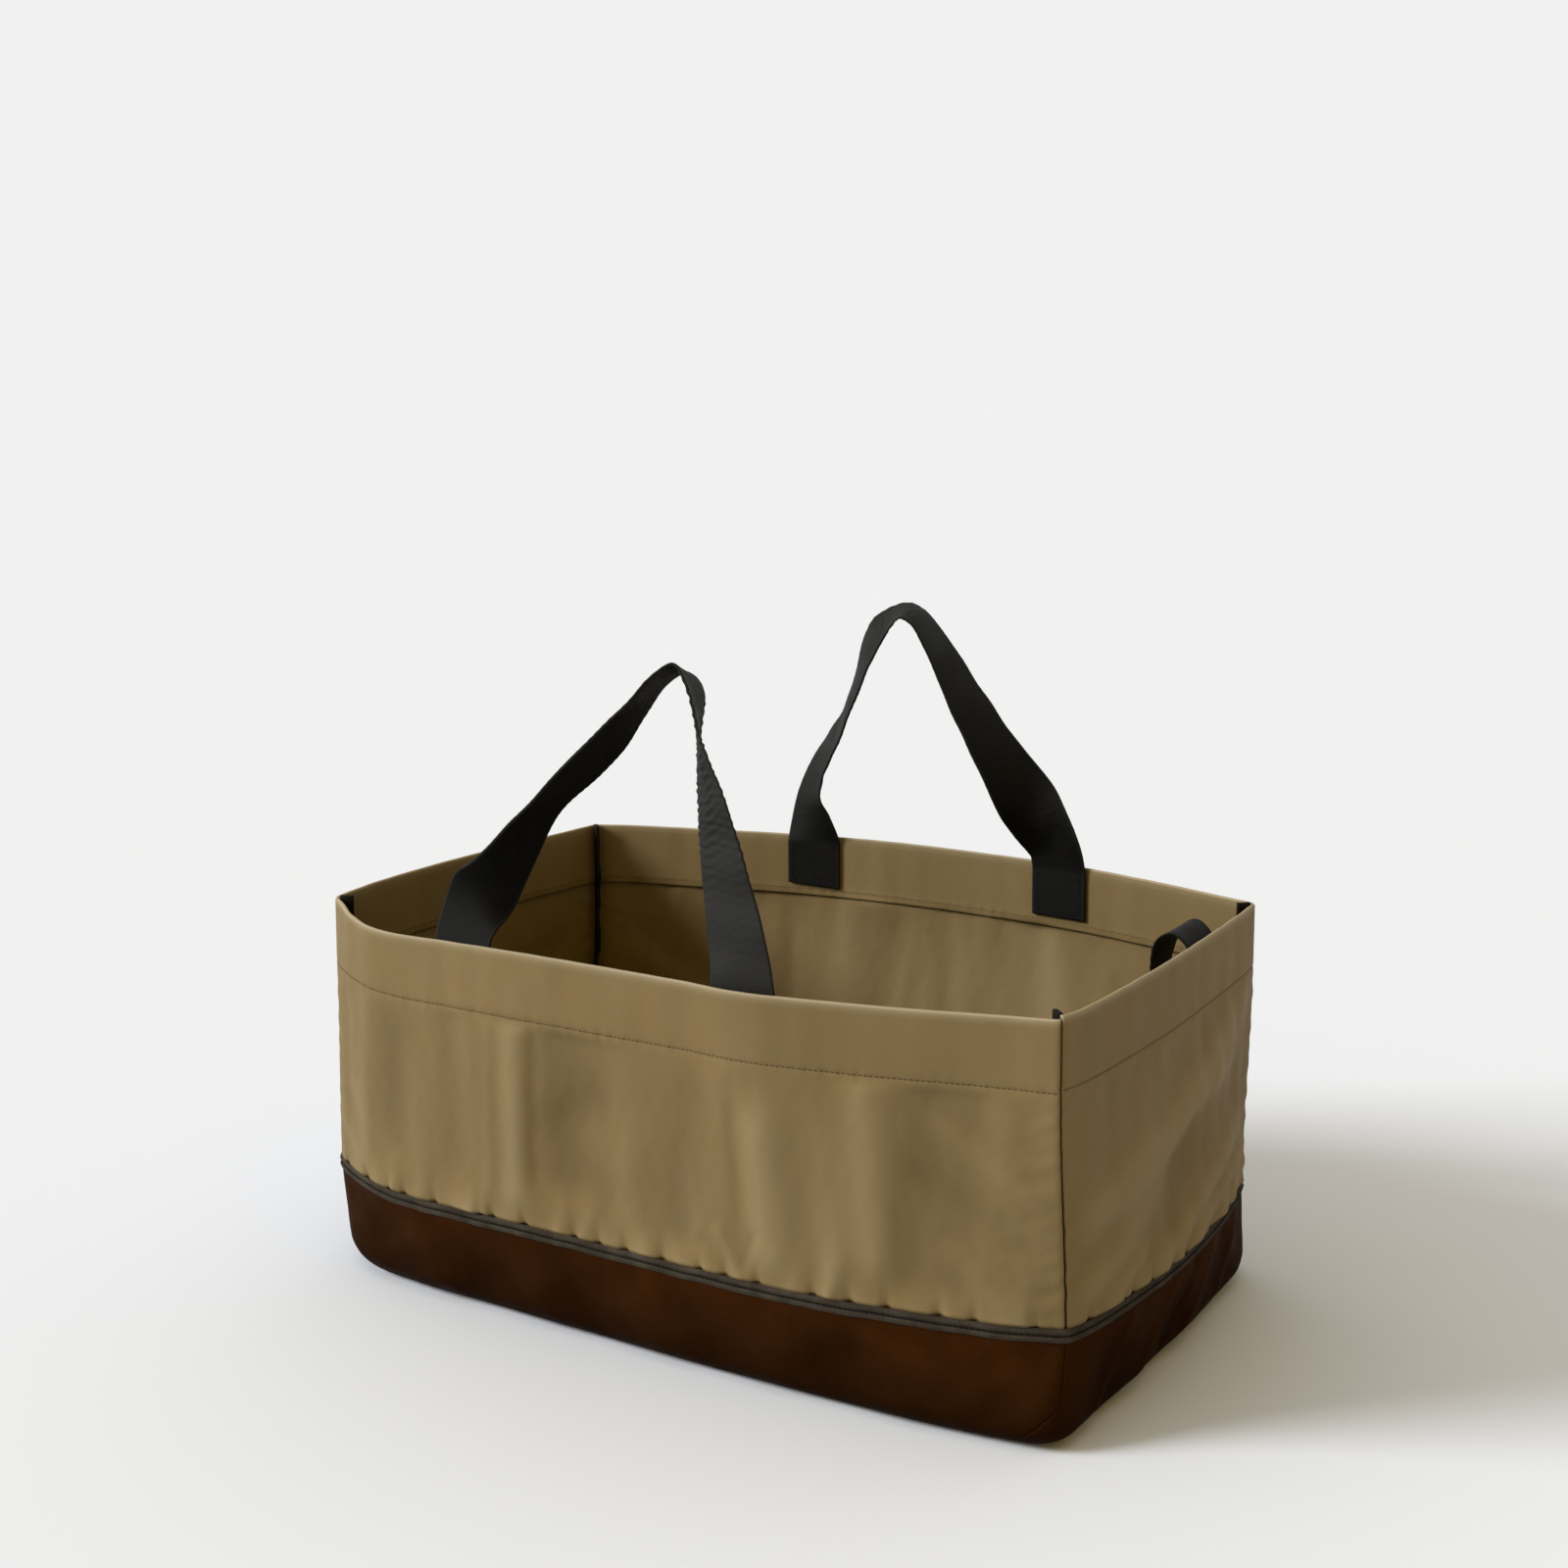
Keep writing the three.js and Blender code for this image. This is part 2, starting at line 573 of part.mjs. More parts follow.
// Flat webbing along a path of points, each with the direction of the webbing's width.
function webbing(name, points, widths, look) {
  const sections = points.map((point, index) => {
    const before = points[Math.max(index - 1, 0)];
    const after = points[Math.min(index + 1, points.length - 1)];
    const along = after.clone().sub(before).normalize();
    const across = widths[index].clone().addScaledVector(along, -widths[index].dot(along));
    across.normalize().multiplyScalar(webbingWidth / 2);
    const through = along.clone().cross(across).normalize().multiplyScalar(webbingThickness / 2);
    return [[1, 1], [-1, 1], [-1, -1], [1, -1]].map(([wide, thick]) => (
      point.clone().addScaledVector(across, wide).addScaledVector(through, thick)
    ));
  });
  return bar(name, sections, look);
}

const widthAt = (turn) => new THREE.Vector3(Math.cos(turn), Math.sin(turn), 0);
const radians = (degrees) => (degrees * Math.PI) / 180;
// distance from the outer face to the middle of webbing that lies on the inside of the hem
const webbingInset = hemThickness + restGap + webbingThickness / 2;
// depths below the rim where a foot's webbing is placed, down from its top
const footDepths = (top) => [footLength, between(footLength, top, 0.5), top];

// Webbing that lies on the inside of a wall, against the innermost of five places across its
// width: the middle of its width and the turn of its width.
function wallRest(side, share, height) {
  const half = webbingWidth / 2 / sideLength(side);
  const marks = [-1, -0.5, 0, 0.5, 1].map((mark) => {
    const place = side + share + mark * half;
    const direction = outward(place, height).setZ(0).normalize();
    return outerPoint(place, height).addScaledVector(direction, -webbingInset);
  });
  const first = marks[0];
  const across = marks[marks.length - 1].clone().sub(first);
  const inwards = new THREE.Vector3(-across.y, across.x, 0).normalize();
  const depth = Math.max(...marks.map((mark) => mark.clone().sub(first).dot(inwards)));
  const middle = first.clone().addScaledVector(across, 0.5).addScaledVector(inwards, depth);
  return { middle, turn: Math.atan2(across.y, across.x) };
}

// Smallest turn that lays a width along a wall, whichever way round it is.
const lay = (wallTurn, tableTurn) => {
  const difference = wallTurn - tableTurn;
  return difference - Math.PI * Math.round(difference / Math.PI);
};

// Loop of webbing with both feet flat on the inside of one side. The rows give its course
// between the feet: along the side, into the bag and up from the rim.
function loop(name, side, rows, shape) {
  const indexed = rows.map((row, index) => ({ ...row, index }));
  const read = (column, value) => readTable(indexed, 'index', column, value);
  const last = rows.length - 1;
  const points = [];
  const widths = [];
  const ends = [rows[0], rows[last]].map((row) => {
    const share = 0.5 + (shape.shift + row.along * shape.halfSpan) / sideLength(side);
    const rim = rimHeight(side + share);
    const rest = wallRest(side, share, rim);
    return { share, rim, middle: rest.middle, tilt: lay(rest.turn, radians(row.turn)), row };
  });
  const foot = (end, depths) => {
    for (const depth of depths) {
      const rest = wallRest(side, end.share, end.rim - depth);
      const turn = radians(end.row.turn);
      points.push(rest.middle);
      widths.push(widthAt(turn + lay(rest.turn, turn)));
    }
  };
  const start = cornerPoint(side);
  const along = cornerPoint(side + 1).sub(start).normalize();
  const inwards = new THREE.Vector2(-along.y, along.x);
  foot(ends[0], footDepths(shape.footTop));
  for (let step = 1; step < webbingSteps; step += 1) {
    const value = (last * step) / webbingSteps;
    const part = value / last;
    const span = read('along', value) - between(rows[0].along, rows[last].along, part);
    const point = ends[0].middle.clone().lerp(ends[1].middle, part);
    const lean = read('lean', value) * shape.lean;
    point.x += along.x * span * shape.halfSpan + inwards.x * lean;
    point.y += along.y * span * shape.halfSpan + inwards.y * lean;
    point.z = between(ends[0].rim, ends[1].rim, part) + read('rise', value) * shape.rise;
    points.push(point);
    const tilt = between(ends[0].tilt, ends[1].tilt, part);
    widths.push(widthAt(radians(read('turn', value)) + tilt));
  }
  foot(ends[1], footDepths(shape.footTop).reverse());
  return webbing(name, points, widths, black);
}

// Tape that stands inwards from a corner seam, from the band to just over the rim.
function cornerBinding(index) {
  const stitch = stitchHeight(index);
  const rim = rimHeight(index);
  const low = bandLevel + bandWidth;
  const high = stitch - 2 * creaseReach;
  const levels = [0, 0.25, 0.5, 0.75, 1].map((share) => between(low, high, share));
  levels.push(stitch - creaseReach, stitch, stitch + creaseReach, rim + bindingTop);
  const sections = levels.map((height) => {
    const level = Math.min(height, rim);
    const point = outerPoint(index, level).setZ(height);
    const direction = outward(index, level).setZ(0).normalize();
    const across = new THREE.Vector3(-direction.y, direction.x, 0);
    const near = -2 * pieceGap - (height > high ? hemThickness : clothThickness);
    const far = near - bindingWidth;
    return [[far, 0.5], [far, -0.5], [near, -0.5], [near, 0.5]].map(([out, wide]) => {
      const corner = point.clone().addScaledVector(direction, out);
      return corner.addScaledVector(across, wide * bindingThickness);
    });
  });
  return bar(`${cornerRows[index].name}_binding`, sections, dark);
}

const bag = new THREE.Group();
bag.name = 'firewood_carrier_bag';
const sideNames = ['front', 'right_end', 'back', 'left_end'];
sideNames.forEach((name, side) => {
  bag.add(upperPanel(side, `${name}_panel`));
  bag.add(skirt(side, `${name}_skirt`));
});
bag.add(basePanel('base_panel'));
bag.add(band());
const handleShape = { lean: handleLean, rise: handleRise, footTop: handleFootTop };
const frontShape = { ...handleShape, halfSpan: frontHandleHalfSpan, shift: frontHandleShift };
const backShape = { ...handleShape, halfSpan: backHandleHalfSpan, shift: backHandleShift };
const strapShape = {
  halfSpan: strapHalfSpan,
  shift: strapShift,
  lean: strapLean,
  rise: strapHang,
  footTop: strapFootTop,
};
bag.add(loop('front_handle', 0, frontHandleRows, frontShape));
bag.add(loop('back_handle', 2, backHandleRows, backShape));
bag.add(loop('right_end_strap', 1, strapRows, strapShape));
cornerRows.forEach((row, index) => bag.add(cornerBinding(index)));

export default bag;
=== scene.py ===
import math
import bmesh
import bpy
import numpy as np
from mathutils import Matrix


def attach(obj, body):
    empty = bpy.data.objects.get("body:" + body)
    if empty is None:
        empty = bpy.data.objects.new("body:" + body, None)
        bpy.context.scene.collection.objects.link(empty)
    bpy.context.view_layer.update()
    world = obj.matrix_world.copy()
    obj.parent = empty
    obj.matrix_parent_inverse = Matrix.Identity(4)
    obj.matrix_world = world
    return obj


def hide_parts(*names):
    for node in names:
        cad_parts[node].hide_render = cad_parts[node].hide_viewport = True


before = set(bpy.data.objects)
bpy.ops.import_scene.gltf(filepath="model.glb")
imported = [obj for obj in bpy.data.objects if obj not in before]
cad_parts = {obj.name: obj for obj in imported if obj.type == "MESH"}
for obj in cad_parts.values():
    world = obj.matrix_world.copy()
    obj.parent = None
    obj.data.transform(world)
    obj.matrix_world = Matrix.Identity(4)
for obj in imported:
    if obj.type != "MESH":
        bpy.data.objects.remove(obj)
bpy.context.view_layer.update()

# All lengths below are in millimetres unless a name says otherwise; meshes are made in metres.
bag = {
    "length": 600.0,
    "depth": 336.0,
    "height": 276.0,
    "sideSwell": 48.0,
    "rimSway": 8.0,
    "hemDepth": 46.0,
    "hemThickness": 3.0,
    "bandLevel": 71.0,
    "bandWidth": 9.0,
    "cornerTurn": 6.0,
    "floorCornerTurn": 20.0,
    "floorOverlap": 4.0,
    "diagonalHeight": 30.0,
    "diagonalRun": 34.0,
    "skirtWave": 1.6,
    "skirtWaveSpacing": 96.0,
}

# corner seams: x at floor, band, rim, then y at floor, band, rim, then the floor radius
cornerTable = np.array([
    [-0.985, -1.018, -1.008, -0.91, -0.915, -0.905, 22],
    [1.03, 1.012, 1.013, -1.055, -0.935, -1.01, 18],
    [1, 0.999, 1.002, 1, 0.93, 0.985, 18],
    [-0.985, -1, -1, 0.96, 0.94, 0.985, 30],
])

# columns: share, swell at floor, band, hem and rim, rise of the rim
sideTables = [
    np.array([
        [0, 0, 0, 0, 0, 0.1], [0.03, 0.38, 0.24, 0.32, 0.22, 0], [0.07, 0.66, 0.48, 0.6, 0.56, -0.2],
        [0.12, 0.72, 0.72, 0.85, 0.86, -0.4], [0.17, 0.73, 0.83, 0.95, 0.97, -0.5],
        [0.25, 0.69, 0.85, 0.95, 0.9, -0.5], [0.36, 0.66, 0.83, 0.92, 0.84, -0.5],
        [0.47, 0.62, 0.84, 0.88, 0.83, -0.5], [0.58, 0.58, 0.85, 0.82, 0.85, -0.5],
        [0.66, 0.52, 0.84, 0.84, 0.9, -0.5], [0.75, 0.45, 0.76, 0.62, 0.68, -0.5],
        [0.85, 0.34, 0.54, 0.34, 0.42, -0.4], [0.93, 0.2, 0.33, 0.12, 0.18, -0.25],
        [1, 0, 0, 0, 0, -0.1],
    ]),
    np.array([
        [0, 0, 0, 0, 0, 0.2], [0.08, 0.04, 0.14, 0.08, 0.06, 0.1], [0.22, 0.08, 0.26, 0.14, 0.1, 0.1],
        [0.45, 0.13, 0.36, 0.18, 0.12, 0.15], [0.7, 0.16, 0.3, 0.14, 0.09, 0.25],
        [0.88, 0.12, 0.16, 0.08, 0.05, 0.35], [1, 0, 0, 0, 0, 0.4],
    ]),
    np.array([
        [0, 0, 0, 0, 0, 0.4], [0.05, 0.26, 0.2, 0.2, 0.16, 0.5], [0.14, 0.55, 0.38, 0.42, 0.4, 0.75],
        [0.26, 0.72, 0.5, 0.68, 0.68, 0.95], [0.4, 0.78, 0.52, 0.84, 0.84, 1],
        [0.55, 0.76, 0.48, 0.86, 0.88, 1], [0.7, 0.78, 0.54, 0.78, 0.78, 0.8],
        [0.84, 0.6, 0.4, 0.48, 0.5, 0.6], [0.94, 0.3, 0.22, 0.24, 0.24, 0.5],
        [1, 0, 0, 0, 0, 0.4],
    ]),
    np.array([
        [0, 0, 0, 0, 0, 0.4], [0.12, 0.16, 0.14, 0.09, 0.06, 0.35], [0.35, 0.26, 0.28, 0.18, 0.12, 0.4],
        [0.6, 0.28, 0.3, 0.2, 0.13, 0.45], [0.85, 0.16, 0.16, 0.12, 0.08, 0.35],
        [1, 0, 0, 0, 0, 0.1],
    ]),
]

# folds of the tan cloth: side, share at the band and at the rim, reach, height, from, to
broadFolds = np.array([
    [0, 0.345, 0.36, 15, 4, 0, 1], [0, 0.42, 0.44, 30, -3.5, 0.1, 0.9],
    [0, 0.69, 0.675, 15, 4.5, 0, 0.72], [0, 0.56, 0.6, 26, -3, 0, 0.75],
    [0, 0.81, 0.8, 16, 3.4, 0.05, 0.9], [0, 0.13, 0.2, 22, -2.5, 0.05, 0.8],
    [1, 0.12, 0.5, 20, 1.2, 0.05, 0.95], [1, 0.34, 0.8, 20, -1.2, 0.05, 0.9],
    [2, 0.3, 0.33, 22, 3.5, 0, 0.9], [2, 0.6, 0.56, 26, -3, 0.05, 0.9],
    [2, 0.8, 0.76, 20, 3, 0, 0.8],
    [3, 0.3, 0.5, 20, 3, 0, 0.8], [3, 0.7, 0.6, 20, -3, 0, 0.8],
])
# narrower folds that only the cloth itself shows, in the same columns
fineFolds = np.array([
    [0, 0.25, 0.26, 13, -1.5, 0.05, 0.98], [0, 0.3, 0.32, 6, 0.9, 0, 0.97],
    [0, 0.365, 0.385, 6, -1.1, 0.1, 1], [0, 0.47, 0.455, 12, 0.8, 0.25, 0.98],
    [0, 0.6, 0.56, 8, 0.8, 0, 0.5], [0, 0.655, 0.64, 7, -1.6, 0, 0.75],
    [0, 0.76, 0.745, 14, 1.2, 0, 0.75], [0, 0.875, 0.87, 28, -3.2, 0, 0.9],
    [0, 0.09, 0.12, 10, 1.0, 0, 0.9], [0, 0.045, 0.06, 7, -0.9, 0.1, 0.85],
    [2, 0.12, 0.15, 8, 1.0, 0, 0.9], [2, 0.22, 0.2, 9, -0.9, 0, 0.8],
    [2, 0.43, 0.46, 10, 1.1, 0.1, 1], [2, 0.52, 0.5, 8, -1.0, 0, 0.7],
    [2, 0.68, 0.71, 9, 1.1, 0, 0.85], [2, 0.9, 0.86, 8, -1.1, 0, 0.9],
    [3, 0.14, 0.32, 9, 1.2, 0, 0.8], [3, 0.42, 0.55, 9, -1.1, 0, 0.85],
    [3, 0.55, 0.5, 8, 1.0, 0.1, 0.9], [3, 0.85, 0.72, 9, 1.2, 0, 0.7],
])
# slanting folds: side, share and height of one end, share and height of the other, reach, height
slantFolds = np.array([
    [0, 0.86, 205, 1.0, 148, 9, 1.7], [0, 0.84, 172, 0.98, 122, 10, -1.3],
    [0, 0.88, 122, 0.95, 84, 9, 1.5], [0, 0.62, 110, 0.645, 80, 5, 1.3],
    [0, 0.67, 112, 0.65, 80, 4, -1.1], [0, 0.595, 98, 0.63, 80, 5, -1.0],
    [0, 0.01, 118, 0.1, 82, 8, 1.4], [0, 0.04, 158, 0.17, 92, 11, 1.3],
    [0, 0.39, 148, 0.48, 188, 15, -1.6], [0, 0.47, 128, 0.6, 196, 24, 1.6],
    [1, 0, 138, 0.85, 192, 15, 4.6], [1, 0, 90, 0.4, 142, 12, 3.6],
    [1, 0.31, 80, 0.85, 128, 10, 4.0], [1, 0.5, 78, 0.96, 112, 7, 2.8],
    [1, 0.12, 110, 0.62, 160, 10, -1.6], [1, 0.4, 120, 0.95, 166, 12, -1.3],
    [1, 0.45, 178, 0.96, 222, 15, 2.4], [1, 0.12, 6, 0.26, 66, 6, 1.8], [1, 0.3, 6, 0.47, 66, 5, 1.8],
    [1, 0.42, 6, 0.6, 66, 5, -1.4], [1, 0.52, 6, 0.7, 66, 6, 1.9], [1, 0.72, 6, 0.88, 66, 6, 1.7],
    [0, 0.1, 8, 0.2, 60, 12, 1.2], [0, 0.88, 12, 0.97, 56, 9, 1.8], [0, 0.7, 14, 0.8, 50, 12, -1.3],
    [0, 0.4, 40, 0.6, 22, 12, 1.2], [0, 0.78, 60, 0.92, 34, 8, 1.4],
    [1, 0.12, 80, 0.3, 102, 6, 2.2], [1, 0.7, 78, 0.99, 98, 6, 2.2],
    [2, 0.05, 190, 0.3, 110, 14, 1.8], [2, 0.7, 100, 0.95, 190, 14, 1.8],
    [2, 0.4, 90, 0.6, 140, 16, -1.4], [3, 0.1, 180, 0.75, 110, 15, 2.2],
    [3, 0.3, 120, 0.95, 90, 11, 1.8], [3, 0.05, 110, 0.5, 85, 9, -1.4],
])


def between(a, b, share):
    return a + (b - a) * share


def ease(value):
    # 3 t^2 - 2 t^3 with t held from 0 to 1
    part = np.clip(value, 0, 1)
    return part * part * (3 - 2 * part)


def readTable(rows, column, value):
    # cubic curve through one column of a table, its slopes taken from the neighbouring rows
    value = np.asarray(value, float)
    keys, data = rows[:, 0], rows[:, column]
    last = len(keys) - 1
    index = np.arange(last + 1)
    after, before = np.minimum(index + 1, last), np.maximum(index - 1, 0)
    slopes = (data[after] - data[before]) / (keys[after] - keys[before])
    row = np.clip(np.searchsorted(keys, value, side="left") - 1, 0, last - 1)
    width = keys[row + 1] - keys[row]
    t = np.clip((value - keys[row]) / width, 0, 1)
    startPull = t * (1 - t) ** 2 * width * slopes[row]
    endPull = t * t * (1 - t) * width * slopes[row + 1]
    return between(data[row], data[row + 1], t * t * (3 - 2 * t)) + startPull - endPull


def cornerPoint(index, height):
    # place of a corner seam at a height, eased from the floor to the band and on to the hem
    row = cornerTable[np.asarray(index) % 4]
    low = ease(height / bag["bandLevel"])
    high = ease((height - bag["bandLevel"]) / (bag["height"] - bag["hemDepth"] - bag["bandLevel"]))
    x = between(between(row[..., 0], row[..., 1], low), row[..., 2], high) * bag["length"] / 2
    y = between(between(row[..., 3], row[..., 4], low), row[..., 5], high) * bag["depth"] / 2
    return np.stack([x, y], -1)


rimCorners = cornerPoint(np.arange(5), np.full(5, bag["height"]))
sideLengths = np.linalg.norm(np.diff(rimCorners, axis=0), axis=1)


def splitPlace(place):
    # a place round the bag is the side from 0 to 3 plus the share along that side
    wrapped = np.mod(place, 4)
    side = np.minimum(np.floor(wrapped).astype(int), 3)
    return side, wrapped - side


def perSide(side, work):
    result = np.zeros(side.shape)
    for k in range(4):
        mask = side == k
        if mask.any():
            result[mask] = work(k, mask)
    return result


def rimHeight(place):
    side, share = splitPlace(place)
    rise = perSide(side, lambda k, mask: readTable(sideTables[k], 5, share[mask]))
    return bag["height"] + bag["rimSway"] * rise


def stitchHeight(place):
    return rimHeight(place) - bag["hemDepth"]


def swell(side, share, height):
    # outward bow of a side, eased from the floor to the band to the hem, then straight to the rim
    stitch = bag["height"] - bag["hemDepth"]
    low = ease(height / bag["bandLevel"])
    middle = ease((height - bag["bandLevel"]) / (stitch - bag["bandLevel"]))
    high = np.clip((height - stitch) / bag["hemDepth"], 0, 1.2)

    def work(k, mask):
        floor, band, hem, rim = (readTable(sideTables[k], c, share[mask]) for c in (1, 2, 3, 4))
        lower = between(floor, band, low[mask])
        return between(between(lower, hem, middle[mask]), rim, high[mask])

    return bag["sideSwell"] * perSide(side, work)


# ripples of the cloth: seed, height, pace upwards, spacing, slant
ripples = {
    "brownBroad": (21, 0.3, 1.6, 42, 1.2), "brownFine": (22, 0.04, 1, 13, 1.2),
    "tanBroad": (31, 0.22, 0.35, 44, 0.5), "tanFine": (32, 0.05, 1, 15, 1.3),
    "hem": (33, 0.1, 0.2, 34, 0.5), "hemStitching": (34, 0.13, 0, 9, 0),
}
# the shifts keep the ripples of neighbouring sides apart
waves = {"count": 7, "spread": 0.35, "brownShift": 400.0, "tanShift": 500.0, "cornerShift": 300.0}


def wavelets(seed, along, up, spacing, slant):
    # sum of a few sine waves of nearly one spacing, each with its own slant and phase
    draw = np.random.default_rng(seed)
    total = np.zeros(np.broadcast(along, up).shape)
    for _ in range(waves["count"]):
        wave = spacing * (1 + waves["spread"] * draw.uniform(-1, 1))
        tilt = slant * draw.uniform(-1, 1)
        phase = draw.uniform(0, 2 * np.pi)
        total += np.sin(2 * np.pi * (along * np.cos(tilt) + up * np.sin(tilt)) / wave + phase)
    return total / math.sqrt(waves["count"] / 2)


def rippleHeight(name, along, height):
    seed, tall, pace, spacing, slant = ripples[name]
    return tall * wavelets(seed, along, pace * height, spacing, slant)


pucker = {
    "seed": 11, "spacing": 27.0, "height": 2.3, "reach": 6.5, "rise": 19.0,
    "stray": 0.36, "heights": (0.35, 1.25), "reaches": (0.7, 1.7), "rises": (0.5, 1.8), "slant": 0.45,
    "widening": 0.03, "fullTo": 3.0, "startBelow": 1.5, "startOver": 4.0,
    "bulge": 1.1, "bulgeRise": 9.0,    # of the whole cloth over the band
    "notch": 2.8, "dip": 3.2, "dipRise": 6.0,
}


def puckerRow(k):
    # places, heights, reaches, rises and slants of the puckers over the band on one side
    draw = np.random.default_rng(pucker["seed"] + k)
    count = int(sideLengths[k] / pucker["spacing"])
    stray = draw.uniform(-pucker["stray"], pucker["stray"], count)
    centre = (np.arange(count) + 0.5 + stray) * sideLengths[k] / count
    height = pucker["height"] * draw.uniform(*pucker["heights"], count)
    reach = pucker["reach"] * draw.uniform(*pucker["reaches"], count)
    rise = pucker["rise"] * draw.uniform(*pucker["rises"], count)
    slant = draw.uniform(-pucker["slant"], pucker["slant"], count)
    return np.stack([centre, height, reach, rise, slant], -1)


puckerRows = [puckerRow(k) for k in range(4)]


def puckerSum(side, along, above):
    # bells over the band that lean and widen upwards, less a notch between each two of them
    total = np.zeros(side.shape)
    for k in range(4):
        mask = side == k
        if not mask.any():
            continue
        s, a = along[mask], above[mask]
        up = np.clip(a, 0, None)
        bells = pucker["bulge"] * np.exp(-up / pucker["bulgeRise"])
        notches = np.zeros(s.shape)
        for centre, tall, reach, rise, slant in puckerRows[k]:
            offset = (s - centre - slant * a) / (reach * (1 + pucker["widening"] * np.abs(a)))
            bells += tall * np.exp(-offset ** 2 - np.clip(a - pucker["fullTo"], 0, None) / rise)
            notches += np.exp(-((s - centre - pucker["spacing"] / 2) / pucker["notch"]) ** 2)
        bells *= ease((a + pucker["startBelow"]) / pucker["startOver"])
        notches *= ease(a / pucker["startOver"] + 1) * np.exp(-up / pucker["dipRise"])
        total[mask] = bells - pucker["dip"] * notches
    return total


foldEnds = {"start": 0.15, "stop": 0.2, "slant": 0.3, "slantPast": 0.12}


def foldSum(folds, side, share, part):
    # a bell across each upright fold, eased in and out along it
    total = np.zeros(side.shape)
    for k, below, above, reach, height, start, stop in folds:
        mask = side == int(k)
        if not mask.any():
            continue
        offset = (share[mask] - between(below, above, part[mask])) * sideLengths[int(k)] / reach
        fade = ease((part[mask] - start) / foldEnds["start"]) * ease((stop - part[mask]) / foldEnds["stop"])
        total[mask] += height * np.exp(-offset ** 2) * fade
    return total


def slantSum(side, along, height):
    # a bell across each line and an eased end at both ends of it
    total = np.zeros(side.shape)
    past, over = foldEnds["slantPast"], foldEnds["slant"]
    for k, fromShare, fromHeight, toShare, toHeight, reach, tall in slantFolds:
        mask = side == int(k)
        if not mask.any():
            continue
        length = sideLengths[int(k)]
        run, rise = (toShare - fromShare) * length, toHeight - fromHeight
        size = math.hypot(run, rise)
        dx, dz = along[mask] - fromShare * length, height[mask] - fromHeight
        part = (dx * run + dz * rise) / size ** 2
        offset = (dx * rise - dz * run) / size / reach
        fade = ease((part + past) / over) * ease((1 + past - part) / over)
        total[mask] += tall * np.exp(-offset ** 2) * fade
    return total


# distances in which folds grow from nothing, and shares of them that the stiff hem keeps
calm = {
    "corner": 24.0, "brownCorner": 10.0, "wave": 20.0,
    "brownTop": 3.0, "brownTopReach": 8.0, "foot": 4.0, "footReach": 12.0,
    "hem": 10.0, "bandReach": 30.0,
    "broadInHem": 0.15, "fineInHem": 0.25, "slantInHem": 0.1, "ripplesInHem": 0.2,
}
# small ripples that the hem's stitching and the corner seams pull into the cloth
pull = {
    "stitching": 5.0, "corner": 16.0, "cornerStart": 5.0, "bandStart": 12.0,
    "seed": 35, "height": 0.4, "spacing": 17.0, "slant": 0.5,
    "grooveDepth": 0.25, "grooveReach": 4.0, "threadDepth": 0.3, "threadReach": 1.1,
}


def brownRelief(side, along, edge, height):
    # waves, ripples and slanting folds, gone at the floor, the band and the corner seams
    under = bag["bandLevel"] - height
    wave = bag["skirtWave"] * np.sin(2 * np.pi * along / bag["skirtWaveSpacing"] + side)
    wave *= ease((under - bag["bandWidth"]) / calm["wave"]) * ease(height / calm["wave"])
    around = along + waves["brownShift"] * side
    fine = rippleHeight("brownBroad", around, height) + rippleHeight("brownFine", around, height)
    fine += slantSum(side, along, height)
    fine *= ease((under - calm["brownTop"]) / calm["brownTopReach"])
    fine *= ease((height - calm["foot"]) / calm["footReach"])
    return (wave + fine) * ease(edge / calm["brownCorner"])


def tanRelief(side, share, edge, height, rim):
    # folds, puckers and ripples, quieter in the hem and at the corner seams, less the hem's groove
    along, stitch = share * sideLengths[side], rim - bag["hemDepth"]
    above, fromStitch = height - bag["bandLevel"] - bag["bandWidth"] / 2, height - stitch
    part = (height - bag["bandLevel"]) / (rim - bag["bandLevel"])
    inHem = ease(fromStitch / calm["hem"] + 1)
    high = foldSum(broadFolds, side, share, part) * between(1, calm["broadInHem"], inHem)
    high += foldSum(fineFolds, side, share, part) * between(1, calm["fineInHem"], inHem)
    high += slantSum(side, along, height) * between(1, calm["slantInHem"], inHem)
    high += puckerSum(side, along, above)
    around = along + waves["tanShift"] * side
    free = ease(above / calm["bandReach"]) * between(1, calm["ripplesInHem"], inHem)
    high += (rippleHeight("tanBroad", around, height) + rippleHeight("tanFine", around, height)) * free
    high += rippleHeight("hem", around, height) * inHem
    high += rippleHeight("hemStitching", around, height) * np.exp(-(fromStitch / pull["stitching"]) ** 2)
    upwards = height + waves["cornerShift"] * side
    corner = pull["height"] * wavelets(pull["seed"], upwards, along, pull["spacing"], pull["slant"])
    corner *= np.exp(-edge / pull["corner"]) * ease(above / pull["bandStart"])
    corner *= ease(edge / pull["cornerStart"]) * (1 - inHem)
    groove = pull["grooveDepth"] * np.clip(1 - np.abs(fromStitch) / pull["grooveReach"], 0, None)
    groove += pull["threadDepth"] * np.exp(-(fromStitch / pull["threadReach"]) ** 2)
    return high * ease(edge / calm["corner"]) + corner - groove


def relief(place, height):
    # how far the cloth stands out in folds: brown below the band, tan above it
    side, share = splitPlace(place)
    edge = np.minimum(share, 1 - share) * sideLengths[side]
    low = brownRelief(side, share * sideLengths[side], edge, height)
    high = tanRelief(side, share, edge, height, rimHeight(place))
    return np.where(height < bag["bandLevel"], low, high)


def floorInset(place, height):
    side, share = splitPlace(place)
    radius = between(cornerTable[side, 6], cornerTable[(side + 1) % 4, 6], ease(share))
    drop = np.maximum(0, radius - height)
    return radius - np.sqrt(radius ** 2 - drop ** 2)


